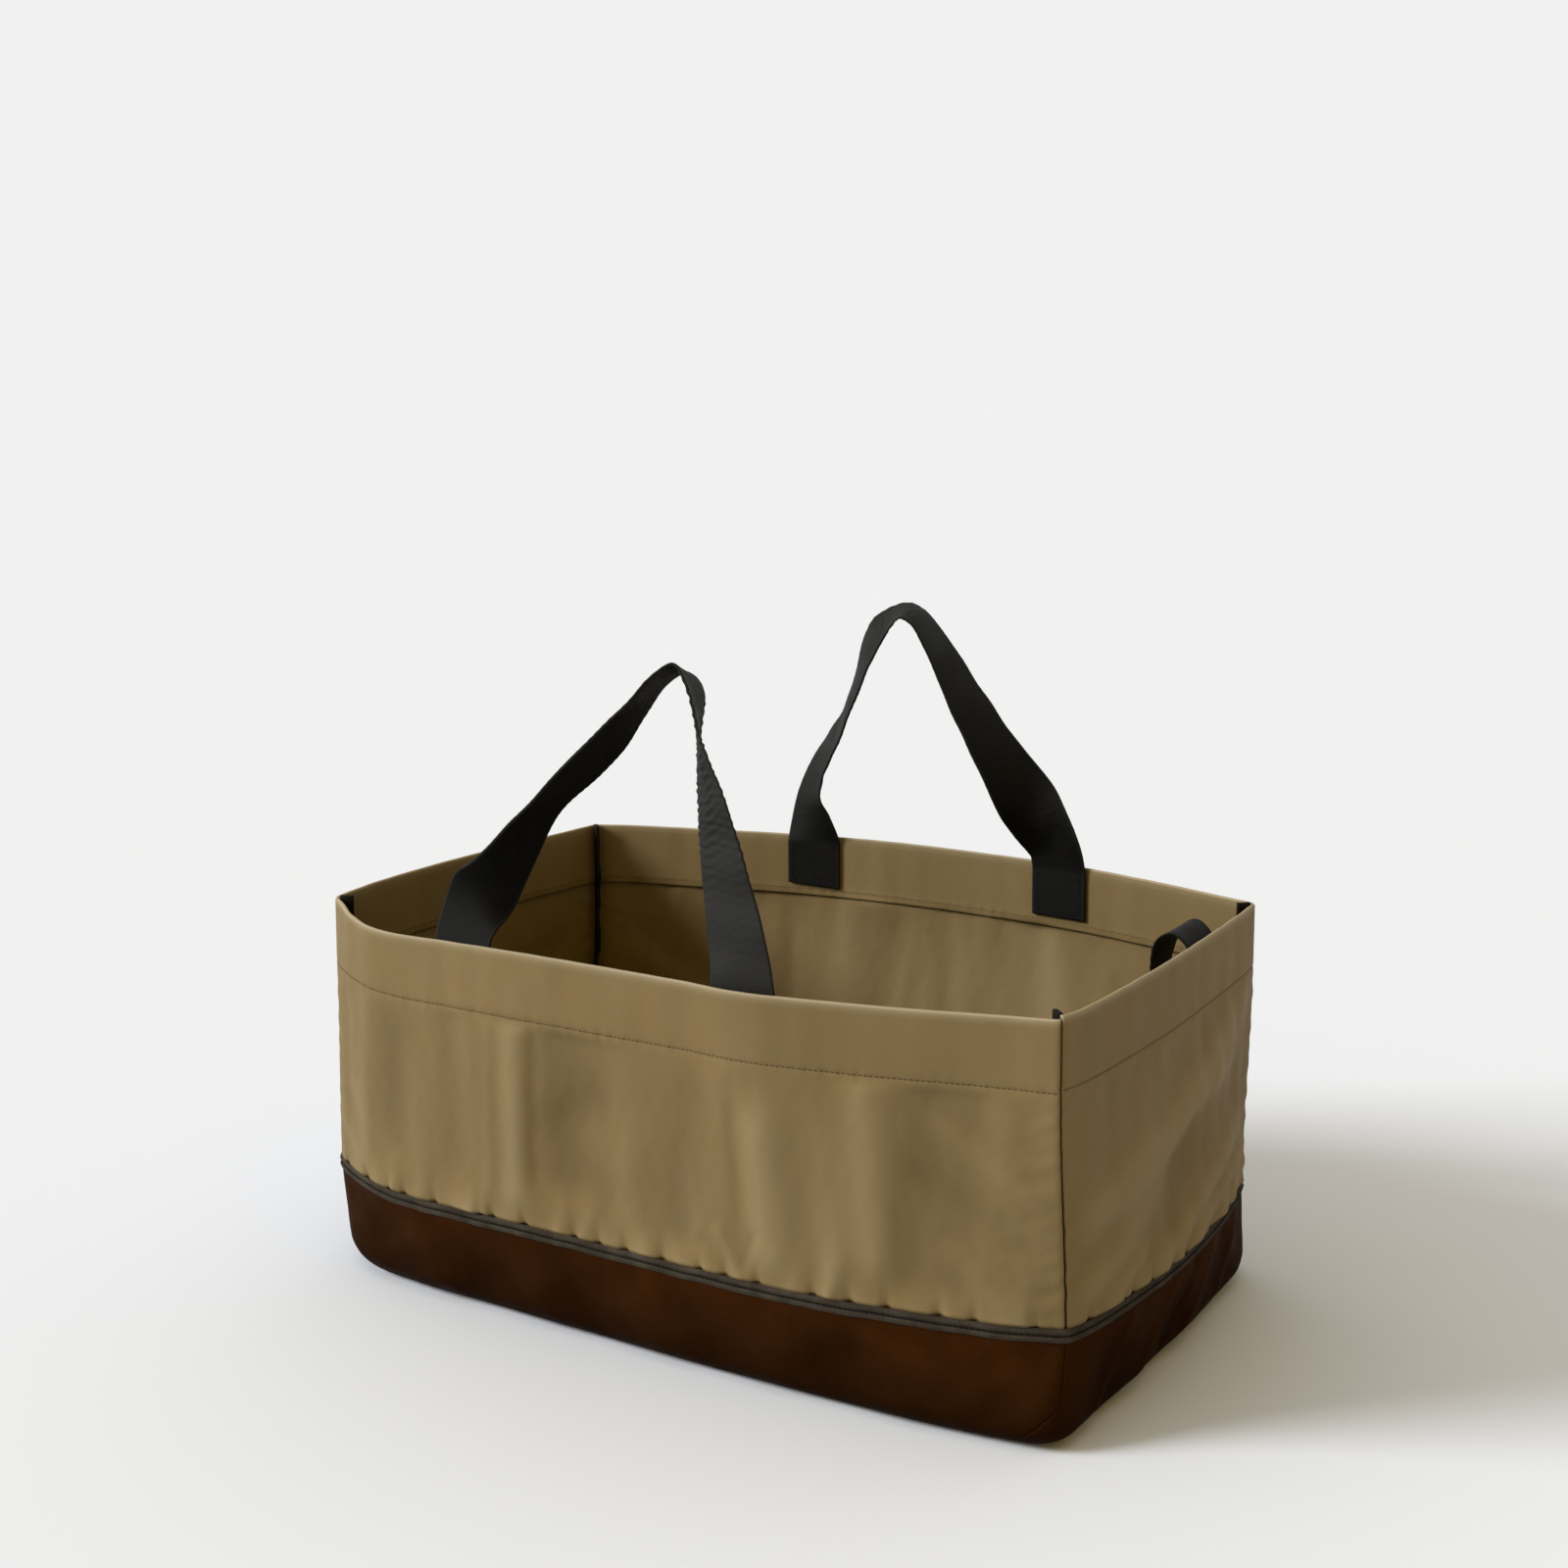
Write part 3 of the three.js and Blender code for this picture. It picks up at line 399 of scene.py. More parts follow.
def sidePoint(side, share, height, inset):
    # straight line between two corner seams, bowed outwards, moved into the bag by the inset
    start, end = cornerPoint(side, height), cornerPoint(side + 1, height)
    span = end - start
    length = np.linalg.norm(span, axis=-1)
    along = span / length[..., None]
    out = np.stack([along[..., 1], -along[..., 0]], -1)
    distance = between(inset, length - inset, share)
    bow = swell(side, share, height) + relief(side + share, height) - inset
    return start + along * distance[..., None] + out * bow[..., None]


def wallPoint(place, height, flange=0.0):
    # outer face of the bag; near a corner seam it goes round on a parabola
    place, height = np.broadcast_arrays(np.asarray(place, float), np.asarray(height, float))
    height = np.maximum(height, 0)
    inset = floorInset(place, height) + flange
    low = 1 - ease(height / (bag["bandLevel"] - bag["bandWidth"]))
    turn = between(bag["cornerTurn"], bag["floorCornerTurn"], low)
    side, share = splitPlace(place)
    length = sideLengths[side]
    late = share > 0.5
    nearest = np.where(late, side + 1, side)
    distance = np.where(late, share - 1, share) * length
    flat = sidePoint(side, share, height, inset)
    mask = np.abs(distance) < turn
    if mask.any():
        before, after = (nearest[mask] + 3) % 4, nearest[mask] % 4
        t, h, i = turn[mask], height[mask], inset[mask]
        start = sidePoint(before, 1 - t / sideLengths[before], h, i)
        end = sidePoint(after, t / sideLengths[after], h, i)
        corner = sidePoint(after, np.zeros(h.shape), h, i)
        s = ((distance[mask] + t) / (2 * t))[:, None]
        flat[mask] = start * (1 - s) ** 2 + corner * 2 * s * (1 - s) + end * s * s
    return np.concatenate([flat, height[..., None]], -1)


def unit(vector):
    return vector / np.linalg.norm(vector, axis=-1, keepdims=True)


def outward(place, height):
    # normal of the outer face, from small steps round and up the bag
    step, lift = 0.9 / bag["depth"], 0.8
    around = wallPoint(place + step, height) - wallPoint(place - step, height)
    upward = wallPoint(place, height + lift) - wallPoint(place, np.maximum(height - lift, 0))
    return unit(np.cross(around, upward))


def meshFrom(name, points, faces, uv=None, values=None):
    # points in millimetres, faces as one array of corners, uv per point, values by name per point
    mesh = bpy.data.meshes.new(name)
    mesh.from_pydata((points / 1000).tolist(), [], faces.tolist())
    mesh.polygons.foreach_set("use_smooth", np.ones(len(mesh.polygons), bool))
    loops = np.empty(len(mesh.loops), int)
    mesh.loops.foreach_get("vertex_index", loops)
    if uv is not None:
        layer = mesh.uv_layers.new(name="cloth")
        layer.data.foreach_set("uv", (uv / 1000)[loops].ravel())
    for key, data in (values or {}).items():
        attribute = mesh.attributes.new(key, "FLOAT", "POINT")
        attribute.data.foreach_set("value", np.broadcast_to(data, len(points)).ravel())
    mesh.update()
    piece = bpy.data.objects.new(name, mesh)
    bpy.context.scene.collection.objects.link(piece)
    return piece


def gridFaces(rows, columns, closed=False):
    # squares between neighbouring rows and columns, facing out where columns run round the bag
    # counter-clockwise and rows run up
    wide = columns if closed else columns - 1
    r, c = np.meshgrid(np.arange(rows - 1), np.arange(wide), indexing="ij")
    n = (c + 1) % columns
    square = [r * columns + c, r * columns + n, (r + 1) * columns + n, (r + 1) * columns + c]
    return np.stack(square, -1).reshape(-1, 4)


def gridPiece(name, grid, uv, values, thickness=0.0, offset=0.0, closed=False):
    # rows of points as one piece, closed round the bag or not, with a cloth's thickness if given
    rows, columns = grid.shape[:2]
    flat = {key: np.broadcast_to(data, (rows, columns)).ravel() for key, data in values.items()}
    faces = gridFaces(rows, columns, closed)
    piece = meshFrom(name, grid.reshape(-1, 3), faces, uv.reshape(-1, 2), flat)
    if thickness:
        solid = piece.modifiers.new("thickness", "SOLIDIFY")
        solid.thickness = thickness / 1000
        solid.offset = offset
    return piece


def walkedUp(grid):
    # distance walked up each column of the grid, row by row
    return np.cumsum(np.linalg.norm(np.diff(grid, axis=0, prepend=grid[:1]), axis=-1), axis=0)


def finish(piece, look, nodes=()):
    piece.data.materials.clear()
    piece.data.materials.append(look)
    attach(piece, "root")
    if nodes:
        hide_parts(*nodes)
    return piece


# Looks: helpers for the node trees
def newLook(name, specular, roughness=0.5):
    look = bpy.data.materials.new(name)
    look.use_nodes = True
    tree = look.node_tree
    shader = next(n for n in tree.nodes if n.type == "BSDF_PRINCIPLED")
    shader.inputs["Roughness"].default_value = roughness
    shader.inputs["Specular IOR Level"].default_value = specular
    return look, tree, shader


def add(tree, kind, inputs=None, **settings):
    # a node with its settings; an input is a link from another socket or a plain value
    node = tree.nodes.new(kind)
    for key, value in settings.items():
        setattr(node, key, value)
    for key, value in (inputs or {}).items():
        if isinstance(value, bpy.types.NodeSocket):
            tree.links.new(value, node.inputs[key])
        else:
            node.inputs[key].default_value = value
    return node


def noise(tree, vector, scale, detail=3.0, roughness=0.55, stretch=(1, 1, 1)):
    # fractal noise on a stretched copy of the coordinates
    mapping = add(tree, "ShaderNodeMapping", {"Vector": vector, "Scale": stretch})
    inputs = {"Vector": mapping.outputs[0], "Scale": scale, "Detail": detail, "Roughness": roughness}
    return add(tree, "ShaderNodeTexNoise", inputs).outputs["Fac"]


def ramp(tree, value, low, high, start=0.0, stop=1.0):
    # value from low..high mapped to start..stop and held there
    inputs = {"Value": value, "From Min": low, "From Max": high, "To Min": start, "To Max": stop}
    return add(tree, "ShaderNodeMapRange", inputs).outputs[0]


def blend(tree, factor, first, second):
    inputs = {0: factor, 6: first, 7: second}    # the mix node's colour sockets
    return add(tree, "ShaderNodeMix", inputs, data_type="RGBA").outputs[2]


def compute(tree, operation, first, second=0.0):
    return add(tree, "ShaderNodeMath", {0: first, 1: second}, operation=operation).outputs[0]


def attribute(tree, name):
    return add(tree, "ShaderNodeAttribute", attribute_name=name).outputs["Fac"]


def objectPlace(tree):
    return add(tree, "ShaderNodeTexCoord").outputs["Object"]


def clothMap(tree):
    # the cloth's own map and its two lengths, across and along, in metres
    uv = add(tree, "ShaderNodeUVMap", uv_map="cloth").outputs[0]
    split = add(tree, "ShaderNodeSeparateXYZ", {0: uv})
    return uv, split.outputs[0], split.outputs[1]


def turnsOf(tree, length, pitch):
    # length as an angle that goes once round in each pitch, in millimetres
    return compute(tree, "MULTIPLY", length, 2 * math.pi / (pitch / 1000))


def weave(tree, pitch):
    # plain weave on the cloth's own map: two crossed sines, a thread apart
    warp, weft = (compute(tree, "SINE", turnsOf(tree, length, pitch)) for length in clothMap(tree)[1:])
    return compute(tree, "MULTIPLY", warp, weft)


def paint(tree, shader, colour, layers):
    # further colours laid over the first, each by its own share
    for share, over in layers:
        colour = blend(tree, share, colour, over)
    tree.links.new(colour, shader.inputs["Base Color"])


def roughen(tree, shader, value, smooth, rough):
    tree.links.new(ramp(tree, value, 0.3, 0.7, smooth, rough), shader.inputs["Roughness"])


def bump(tree, shader, layers):
    # height maps laid over each other: (value, strength, distance in millimetres)
    normal = None
    for value, strength, distance in layers:
        inputs = {"Height": value, "Strength": strength, "Distance": distance / 1000}
        if normal is not None:
            inputs["Normal"] = normal
        normal = add(tree, "ShaderNodeBump", inputs).outputs[0]
    tree.links.new(normal, shader.inputs["Normal"])


tanLook = {
    "light": (0.19, 0.137, 0.063, 1), "dark": (0.158, 0.111, 0.047, 1), "warm": (0.184, 0.124, 0.051, 1),
    # the next line holds a lighter colour painted on fold ridges as highlight and a darker one painted in
    # fold valleys as shade
    "wearAndPaintedLight": (0.25, 0.19, 0.1, 1), "paintedLighting": (0.085, 0.058, 0.025, 1),
    "rim": (0.3, 0.25, 0.165, 1), "seam": (0.045, 0.03, 0.013, 1),
    "grain": (0.085, 0.06, 0.028, 1), "gap": (0.06, 0.04, 0.018, 1), "thread": 0.55,
}


def makeTanLook():
    look, tree, shader = newLook("tan_canvas", 0.05)
    place = objectPlace(tree)
    mottle = noise(tree, place, 9, 4, 0.55, (1, 1, 0.45))
    patches = noise(tree, place, 24, 4, 0.6)
    grain = noise(tree, place, 700, 2, 0.7)
    threads = weave(tree, tanLook["thread"])
    folds = attribute(tree, "relief")
    paint(tree, shader, blend(tree, ramp(tree, mottle, 0.36, 0.66), tanLook["dark"], tanLook["light"]), [
        (ramp(tree, patches, 0.45, 0.75, 0, 0.45), tanLook["warm"]),
        (ramp(tree, grain, 0.3, 0.7, 0, 0.14), tanLook["grain"]),
        (ramp(tree, threads, -1, 1, 0.1, 0), tanLook["gap"]),
        (ramp(tree, folds, 0.3, 4, 0, 0.45), tanLook["wearAndPaintedLight"]),     # painted highlight on the ridges of the folds
        (ramp(tree, folds, -0.3, -4, 0, 0.45), tanLook["paintedLighting"]),   # painted shade in their valleys
        # darker seams, with painted shade in the crease over the tape, along the stitching's groove and
        # under the hem's inner edge
        (attribute(tree, "seam"), tanLook["seam"]),
        # the rolled rim lighter: wear and a painted highlight
        (attribute(tree, "rim"), tanLook["rim"]),
    ])
    roughen(tree, shader, noise(tree, place, 30, 3), 0.46, 0.6)
    creases = noise(tree, place, 32, 3, 0.5, (1, 1, 0.5))
    bump(tree, shader, [(threads, 0.35, 0.12), (creases, 0.18, 1.6), (grain, 0.2, 0.2)])
    return look


brownLook = {
    "deep": (0.02, 0.0064, 0.0014, 1), "lit": (0.034, 0.0112, 0.0024, 1), "tint": (1, 0.62, 0.42, 1),
    # the lighter colour on the next line serves scuffed wear and a painted highlight on fold ridges
    "wearAndPaintedLight": (0.045, 0.0165, 0.0045, 1), "grain": (0.009, 0.0028, 0.0007, 1),
    # the darkest colour on the next line serves the darkening towards the floor and painted shade in fold
    # valleys
    "foot": (0.008, 0.0028, 0.0007, 1), "thread": 0.45,
}


def makeBrownLook():
    look, tree, shader = newLook("brown_cloth", 0.008)
    shader.inputs["Specular Tint"].default_value = brownLook["tint"]
    place = objectPlace(tree)
    mottle = noise(tree, place, 11, 3, 0.5, (1, 1, 0.7))
    grain = noise(tree, place, 500, 2, 0.7)
    scuffs = noise(tree, place, 50, 4, 0.6)
    folds = attribute(tree, "relief")
    paint(tree, shader, blend(tree, ramp(tree, mottle, 0.35, 0.68), brownLook["deep"], brownLook["lit"]), [
        (ramp(tree, scuffs, 0.6, 0.8, 0, 0.25), brownLook["wearAndPaintedLight"]),
        (ramp(tree, grain, 0.35, 0.7, 0, 0.3), brownLook["grain"]),
        # painted highlight on the ridges of the folds
        (ramp(tree, folds, 0.4, 2.4, 0, 0.3), brownLook["wearAndPaintedLight"]),
        # painted shade in their valleys
        (ramp(tree, folds, -0.4, -2.4, 0, 0.35), brownLook["foot"]),
        (attribute(tree, "foot"), brownLook["foot"]),    # darker towards the floor
        (attribute(tree, "rim"), brownLook["wearAndPaintedLight"]),
    ])
    roughen(tree, shader, noise(tree, place, 30, 3), 0.42, 0.6)
    threads = weave(tree, brownLook["thread"])
    creases = noise(tree, place, 24, 3, 0.5)
    bump(tree, shader, [(threads, 0.3, 0.1), (creases, 0.12, 1.6), (grain, 0.2, 0.2)])
    return look


tapeLook = {
    "dark": (0.03, 0.024, 0.0175, 1), "light": (0.058, 0.048, 0.036, 1), "gap": (0.025, 0.019, 0.013, 1),
    "seam": (0.008, 0.006, 0.004, 1), "rib": 1.1,
}


def makeTapeLook():
    look, tree, shader = newLook("grey_tape", 0.04, 0.75)
    place = objectPlace(tree)
    ribs = compute(tree, "SINE", turnsOf(tree, clothMap(tree)[1], tapeLook["rib"]))
    mottle = noise(tree, place, 60, 4, 0.6)
    paint(tree, shader, blend(tree, ramp(tree, mottle, 0.35, 0.7), tapeLook["dark"], tapeLook["light"]), [
        (ramp(tree, ribs, -1, 1, 0.3, 0), tapeLook["gap"]),
        # darker along the tape's middle, where its seam lies: painted shade in the groove between the ridges
        (attribute(tree, "seam"), tapeLook["seam"]),
    ])
    bump(tree, shader, [(ribs, 0.6, 0.3), (noise(tree, place, 400, 3), 0.3, 0.3)])
    return look


webbingLook = {
    "dark": (0.0026, 0.0025, 0.0021, 1), "light": (0.0058, 0.0056, 0.005, 1),
    "pick": (0.011, 0.0107, 0.01, 1), "fluff": (0.014, 0.0136, 0.0125, 1),
    # the first colour on the next line is painted light, for the leg that faces the lamp
    "paintedLighting": (0.022, 0.0215, 0.0205, 1), "rim": (0.016, 0.015, 0.012, 1),
    "rib": 3.0, "pitch": 1.6, "zigzag": 1.6,
}


def makeWebbingLook():
    look, tree, shader = newLook("black_webbing", 0.06)
    place = objectPlace(tree)
    uv, width, length = clothMap(tree)
    across, along = turnsOf(tree, width, webbingLook["rib"]), turnsOf(tree, length, webbingLook["pitch"])
    # herringbone: the picks lean one way on one rib and the other way on the next
    zigzag = compute(tree, "MULTIPLY", compute(tree, "SINE", across), webbingLook["zigzag"])
    picks = compute(tree, "SINE", compute(tree, "ADD", along, zigzag))
    ribs = compute(tree, "ABSOLUTE", compute(tree, "SINE", compute(tree, "MULTIPLY", across, 0.5)))
    cross = noise(tree, uv, 230, 4, 0.6, (0.35, 1, 1))
    mottle = noise(tree, place, 35, 4, 0.6)
    paintedLighting = compute(tree, "MULTIPLY", attribute(tree, "wearAndPaintedLight"), ramp(tree, picks, -1, 1, 0.45, 1))
    colour = blend(tree, ramp(tree, mottle, 0.35, 0.7), webbingLook["dark"], webbingLook["light"])
    paint(tree, shader, colour, [
        (ramp(tree, picks, -0.2, 1, 0, 0.3), webbingLook["pick"]),
        (ramp(tree, cross, 0.56, 0.75, 0, 0.3), webbingLook["fluff"]),
        (paintedLighting, webbingLook["paintedLighting"]),    # painted light on the leg that faces the lamp, lighter on the picks
        (attribute(tree, "rim"), webbingLook["rim"]),
    ])
    roughen(tree, shader, mottle, 0.52, 0.7)
    bump(tree, shader, [(picks, 0.4, 0.18), (ribs, 0.3, 0.2), (cross, 0.2, 0.5)])
    return look


def makePlainLook(name, low, high, roughness, scale):
    look, tree, shader = newLook(name, 0.05, roughness)
    grain = noise(tree, objectPlace(tree), scale, 3, 0.6)
    paint(tree, shader, blend(tree, ramp(tree, grain, 0.3, 0.7), (*low, 1), (*high, 1)), [])
    bump(tree, shader, [(grain, 0.5, 0.25)])
    return look


print("making the looks")
tanCanvas = makeTanLook()
brownCloth = makeBrownLook()
greyTape = makeTapeLook()
blackWebbing = makeWebbingLook()
darkTape = makePlainLook("dark_binding", (0.005, 0.004, 0.003), (0.014, 0.011, 0.008), 0.8, 300)
tanThread = makePlainLook("tan_thread", (0.045, 0.03, 0.013), (0.085, 0.058, 0.027), 0.6, 900)
darkThread = makePlainLook("dark_thread", (0.004, 0.003, 0.0025), (0.012, 0.009, 0.007), 0.55, 900)

cloth = {
    "thickness": 0.9,     # one layer of the canvas
    "columnStep": 2.4,    # spacing of the mesh along the cloth
    "rowStep": 2.3,
    "nearColumns": (1.0, 2.4, 4.2), "nearMargin": 6.0,    # close columns beside a turned edge
    "allowance": 6.0,     # how far the seam edges stand into the bag
    "seamHalfGap": 1.15,  # from the corner seam to the middle of the cloth's turned edge
    "edgeRadius": 0.9, "edgeAngles": (0, 30, 60, 90), "shadeDepth": 0.8,
}


def clothColumns(length, step, gap):
    # both turned edges and even columns between them: distance along, depth, and seam shade
    radius, deep = cloth["edgeRadius"], cloth["allowance"]
    angles = np.radians(cloth["edgeAngles"])
    along = np.concatenate([[gap, gap], gap + radius * (1 - np.cos(angles))])
    depth = np.concatenate([[deep, deep / 2], radius * (1 - np.sin(angles))])
    start, margin = along[-1], cloth["nearMargin"]
    near = start + np.array(cloth["nearColumns"])
    count = int((length - 2 * start - 2 * margin) / step) + 1
    middle = np.linspace(start + margin, length - start - margin, count)
    s = np.concatenate([along, near, middle, (length - near)[::-1], (length - along)[::-1]])
    turned = np.concatenate([depth, np.zeros(len(s) - 2 * len(along)), depth[::-1]])
    return s, turned, np.clip(turned / cloth["shadeDepth"], 0, 1)


panel = {
    "cuts": {"front": (0.62, 0.27), "right_end": (0.35, 0.27),
             "back": (0.62, 0.28), "left_end": (0.34, 0.27)},
    # behind the brown cloth: height above the band's middle, inset, seam shade
    "tail": ((-9.0, 3.2, 0.3), (-5.0, 3.0, 0.3), (-1.5, 2.4, 0.4), (0.0, 1.3, 0.6)),
    # close rows where the cloth puckers over the tape
    "puckerRows": (1.2, 2.4, 3.4, 4.2, 5.0, 5.8, 6.6, 7.4, 8.3, 9.4, 10.8, 12.5),
    "overBand": 14.5, "underHem": 7.5, "closeRows": 16.0, "hemFrom": 6.0,
    "stitchRows": (0.7, 1.2, 1.8, 2.5, 3.4, 4.6, 6.0),    # above and below the stitching
    "hemRows": 16, "insideRows": 10, "insideFrom": 4.0,
    "rimAngles": (22, 45, 68, 90, 112, 135, 158),
    "edgeRows": (2.2, 1.2, 0.6, 0, -0.6, -1.2, -2.2, -3.5, -5.0),
    "threadReach": 0.9, "threadDip": 0.35,
    # painted shade in the crease over the tape, along the stitching's groove and under the hem's inner edge;
    # the darker corner seams; and a cap on their sum
    "bandShade": 0.75, "threadShade": 0.16, "insideShade": 0.08, "seamShade": 0.55, "mostShade": 0.9,
    # how much lighter the rim is outside, over its top and inside: wear and a painted highlight
    "rimShade": 0.85, "outerRim": 0.5, "innerRim": 0.3,
    "level": (1, 1, 0.25),    # flattens the direction in which the cloth's layers lie
}


def panelRows(rim, stitch):
    # rows from the tail up to the rim, over it on a half circle and down the inside to just past
    # the stitching: height, inset, lift, rim shade, seam shade
    half, band = cloth["thickness"] / 2, bag["bandLevel"]
    radius = (bag["hemThickness"] - cloth["thickness"]) / 2
    top, inner = rim - radius - half, half + 2 * radius
    rows = [(band + step, inset, 0, 0, shade) for step, inset, shade in panel["tail"]]
    for step in panel["puckerRows"]:
        rows.append((band + step, half, 0, 0, panel["bandShade"] * (1 - ease((step - 3.5) / 4))))
    count = int((bag["height"] - bag["hemDepth"] - band - panel["closeRows"]) / cloth["rowStep"])
    for share in np.linspace(0, 1, count):
        height = between(band + panel["overBand"], stitch - panel["underHem"], share)
        rows.append((height, half, 0, 0, 0))
    beside = np.array(panel["stitchRows"])
    for step in np.concatenate([-beside[::-1], [0], beside]):
        dip = math.exp(-(step / panel["threadReach"]) ** 2)
        rows.append((stitch + step, half, 0, 0, panel["threadShade"] * dip))
    for share in np.linspace(0, 1, panel["hemRows"])[1:]:
        near = ease((share - 0.9) / 0.1)
        rows.append((between(stitch + panel["hemFrom"], top, share), half, 0, panel["outerRim"] * near, 0))
    for angle in np.radians(panel["rimAngles"]):
        inset, lift = half + radius * (1 - math.cos(angle)), radius * math.sin(angle)
        rows.append((top, inset, lift, panel["rimShade"], 0))
    for share in np.linspace(0, 1, panel["insideRows"]):
        shade = panel["innerRim"] * (1 - ease(share / 0.15))
        rows.append((between(top, stitch + panel["insideFrom"], share), inner, 0, shade, 0))
    for step in panel["edgeRows"]:
        dip = math.exp(-(step / panel["threadReach"]) ** 2)
        rows.append((stitch + step, inner - panel["threadDip"] * dip, 0, 0, panel["insideShade"] * dip))
    heights = np.array([np.broadcast_to(row[0], rim.shape) for row in rows])
    return heights, np.array([row[1:] for row in rows]).T[..., None]


def makePanel(side, name):
    length = sideLengths[side]
    s, turned, seamShade = clothColumns(length, cloth["columnStep"], cloth["seamHalfGap"])
    place = side + s / length
    heights, (insets, lifts, rims, seams) = panelRows(rimHeight(place), stitchHeight(place))
    place = np.broadcast_to(place, heights.shape)
    level = unit(outward(place, heights) * panel["level"])
    grid = wallPoint(place, heights) - level * (insets + turned)[..., None]
    grid[..., 2] += lifts
    path = walkedUp(grid)
    uv = np.stack([np.broadcast_to(s, heights.shape), path], -1)
    outside = insets < (bag["hemThickness"] + cloth["thickness"]) / 2
    values = {
        "seam": np.clip(seams + panel["seamShade"] * seamShade, 0, panel["mostShade"]),
        "rim": rims, "relief": relief(place, heights) * outside,
    }
    piece = gridPiece(name + "_tan_cloth", grid, uv, values, cloth["thickness"])
    finish(piece, tanCanvas, [name + "_panel"])
    print(piece.name, "width", round(float(length)), "height", round(float(path[-1].mean())), "mm")


sideNames = ["front", "right_end", "back", "left_end"]
print("making the tan panels")
for side, name in enumerate(sideNames):
    makePanel(side, name)

skirt = {
    "cuts": {"front": (0.62, 0.1), "right_end": (0.4, 0.1), "back": (0.62, 0.1), "left_end": (0.4, 0.1)},
    "thickness": 0.9, "inset": 0.45, "seamHalfGap": 0.44, "offFloor": 0.02,
    "flanges": (14.0, 10.0, 6.0, 3.0, 0.0),    # how far the rows at the floor reach under the base
    "footRows": (0.15, 0.5, 1.0, 1.8, 2.8, 4.0, 5.5, 7.2, 9.0),
    "rowsFrom": 11.0, "rowStep": 2.0,
    "topRows": ((1.0, 1.0), (3.0, 2.6), (3.2, 5.0)),    # height above the band's middle, inset
    "underTurn": 2.0, "wallTurn": 9.0, "underOver": 3.0,
    "seamShade": 0.4, "footShade": 0.8, "footReach": 70.0,
}


def diagonalOffset(height):
    return bag["diagonalRun"] * np.clip(1 - height / bag["diagonalHeight"], 0, 1)


def skirtRows():
    # rows from under the base up the wall to behind the band: height, flange, inset
    inset, band = skirt["inset"], bag["bandLevel"]
    wall = [*skirt["footRows"], *np.arange(skirt["rowsFrom"], band - 1, skirt["rowStep"])]
    rows = [(0, flange, inset) for flange in skirt["flanges"]]
    rows += [(height, 0, inset) for height in wall]
    rows += [(band + step, 0, deeper) for step, deeper in skirt["topRows"]]
    return np.array(rows, float).T[..., None]


def makeSkirt(side, name):
    length = sideLengths[side]
    s, turned, seamShade = clothColumns(length, cloth["columnStep"], skirt["seamHalfGap"])
    share = s / length
    heights, flanges, insets = skirtRows()
    # the end cloths reach round the corners at the floor, where the long ones draw back
    shift = diagonalOffset(heights)
    if side % 2 == 1:
        before, after = shift / sideLengths[side - 1], shift / sideLengths[(side + 1) % 4]
        place = side + between(-before, 1 + after, share)
    else:
        place = side + between(shift / length, 1 - shift / length, share)
    tall = np.broadcast_to(heights, place.shape)
    under = np.clip(flanges / skirt["underOver"], 0, 1)[..., None]
    normal = unit(outward(place, tall) * (1 - under) + np.array([0, 0, -1.0]) * under)
    depth = insets + np.minimum(turned, np.where(flanges > 0, skirt["underTurn"], skirt["wallTurn"]))
    grid = wallPoint(place, tall, flanges) - normal * depth[..., None]
    grid[..., 2] = np.maximum(grid[..., 2], skirt["thickness"] / 2 + skirt["offFloor"])
    path = walkedUp(grid)
    uv = np.stack([np.broadcast_to(s, place.shape), path], -1)
    values = {
        "rim": skirt["seamShade"] * seamShade, "relief": relief(place, tall) * (tall < bag["bandLevel"]),
        "foot": skirt["footShade"] * ease(1 - tall / skirt["footReach"]),
    }
    piece = gridPiece(name + "_brown_cloth", grid, uv, values, skirt["thickness"])
    finish(piece, brownCloth, [name + "_skirt"])
    print(piece.name, "width", round(float(length)), "height", round(float(path[-1].mean())), "mm")


baseSheet = {
    "columns": 300, "rings": 28, "crowding": 1.7, "middle": 0.999, "thickness": 1.2, "level": 1.5,
    "rise": 2.1, "riseShare": 0.7, "riseOver": 0.05,
    "broad": (61, 120, 1.6, 0.35), "fine": (62, 46, 3, 0.18),    # waves: seed, spacing, slant, height
}


def makeBase():
    # the floor of the bag: rings from its edge in to the middle, with soft waves
    places = np.linspace(0, 4, baseSheet["columns"], endpoint=False)
    edge = wallPoint(places, np.zeros(len(places)), bag["floorOverlap"])[:, :2]
    centre = edge.mean(axis=0)
    inwards = np.linspace(baseSheet["middle"], 0, baseSheet["rings"])[:, None]
    share = 1 - inwards ** baseSheet["crowding"]
    flat = centre + (edge[None] - centre) * share[..., None]
    rise = baseSheet["rise"]
    for seed, spacing, slant, tall in (baseSheet["broad"], baseSheet["fine"]):
        rise = rise + tall * wavelets(seed, flat[..., 0], flat[..., 1], spacing, slant)
    rise = baseSheet["riseShare"] * rise * ease((1 - share) / baseSheet["riseOver"])
    height = baseSheet["level"] + np.maximum(rise, 0)
    grid = np.concatenate([flat, height[..., None]], -1)[::-1]
    values = {"rim": 0.0, "relief": 0.0, "foot": 0.0}
    piece = gridPiece("base_brown_cloth", grid, grid[..., :2], values, baseSheet["thickness"], closed=True)
    finish(piece, brownCloth, ["base_panel"])


print("making the brown cloths")
makeBase()
for side, name in enumerate(sideNames):
    makeSkirt(side, name)

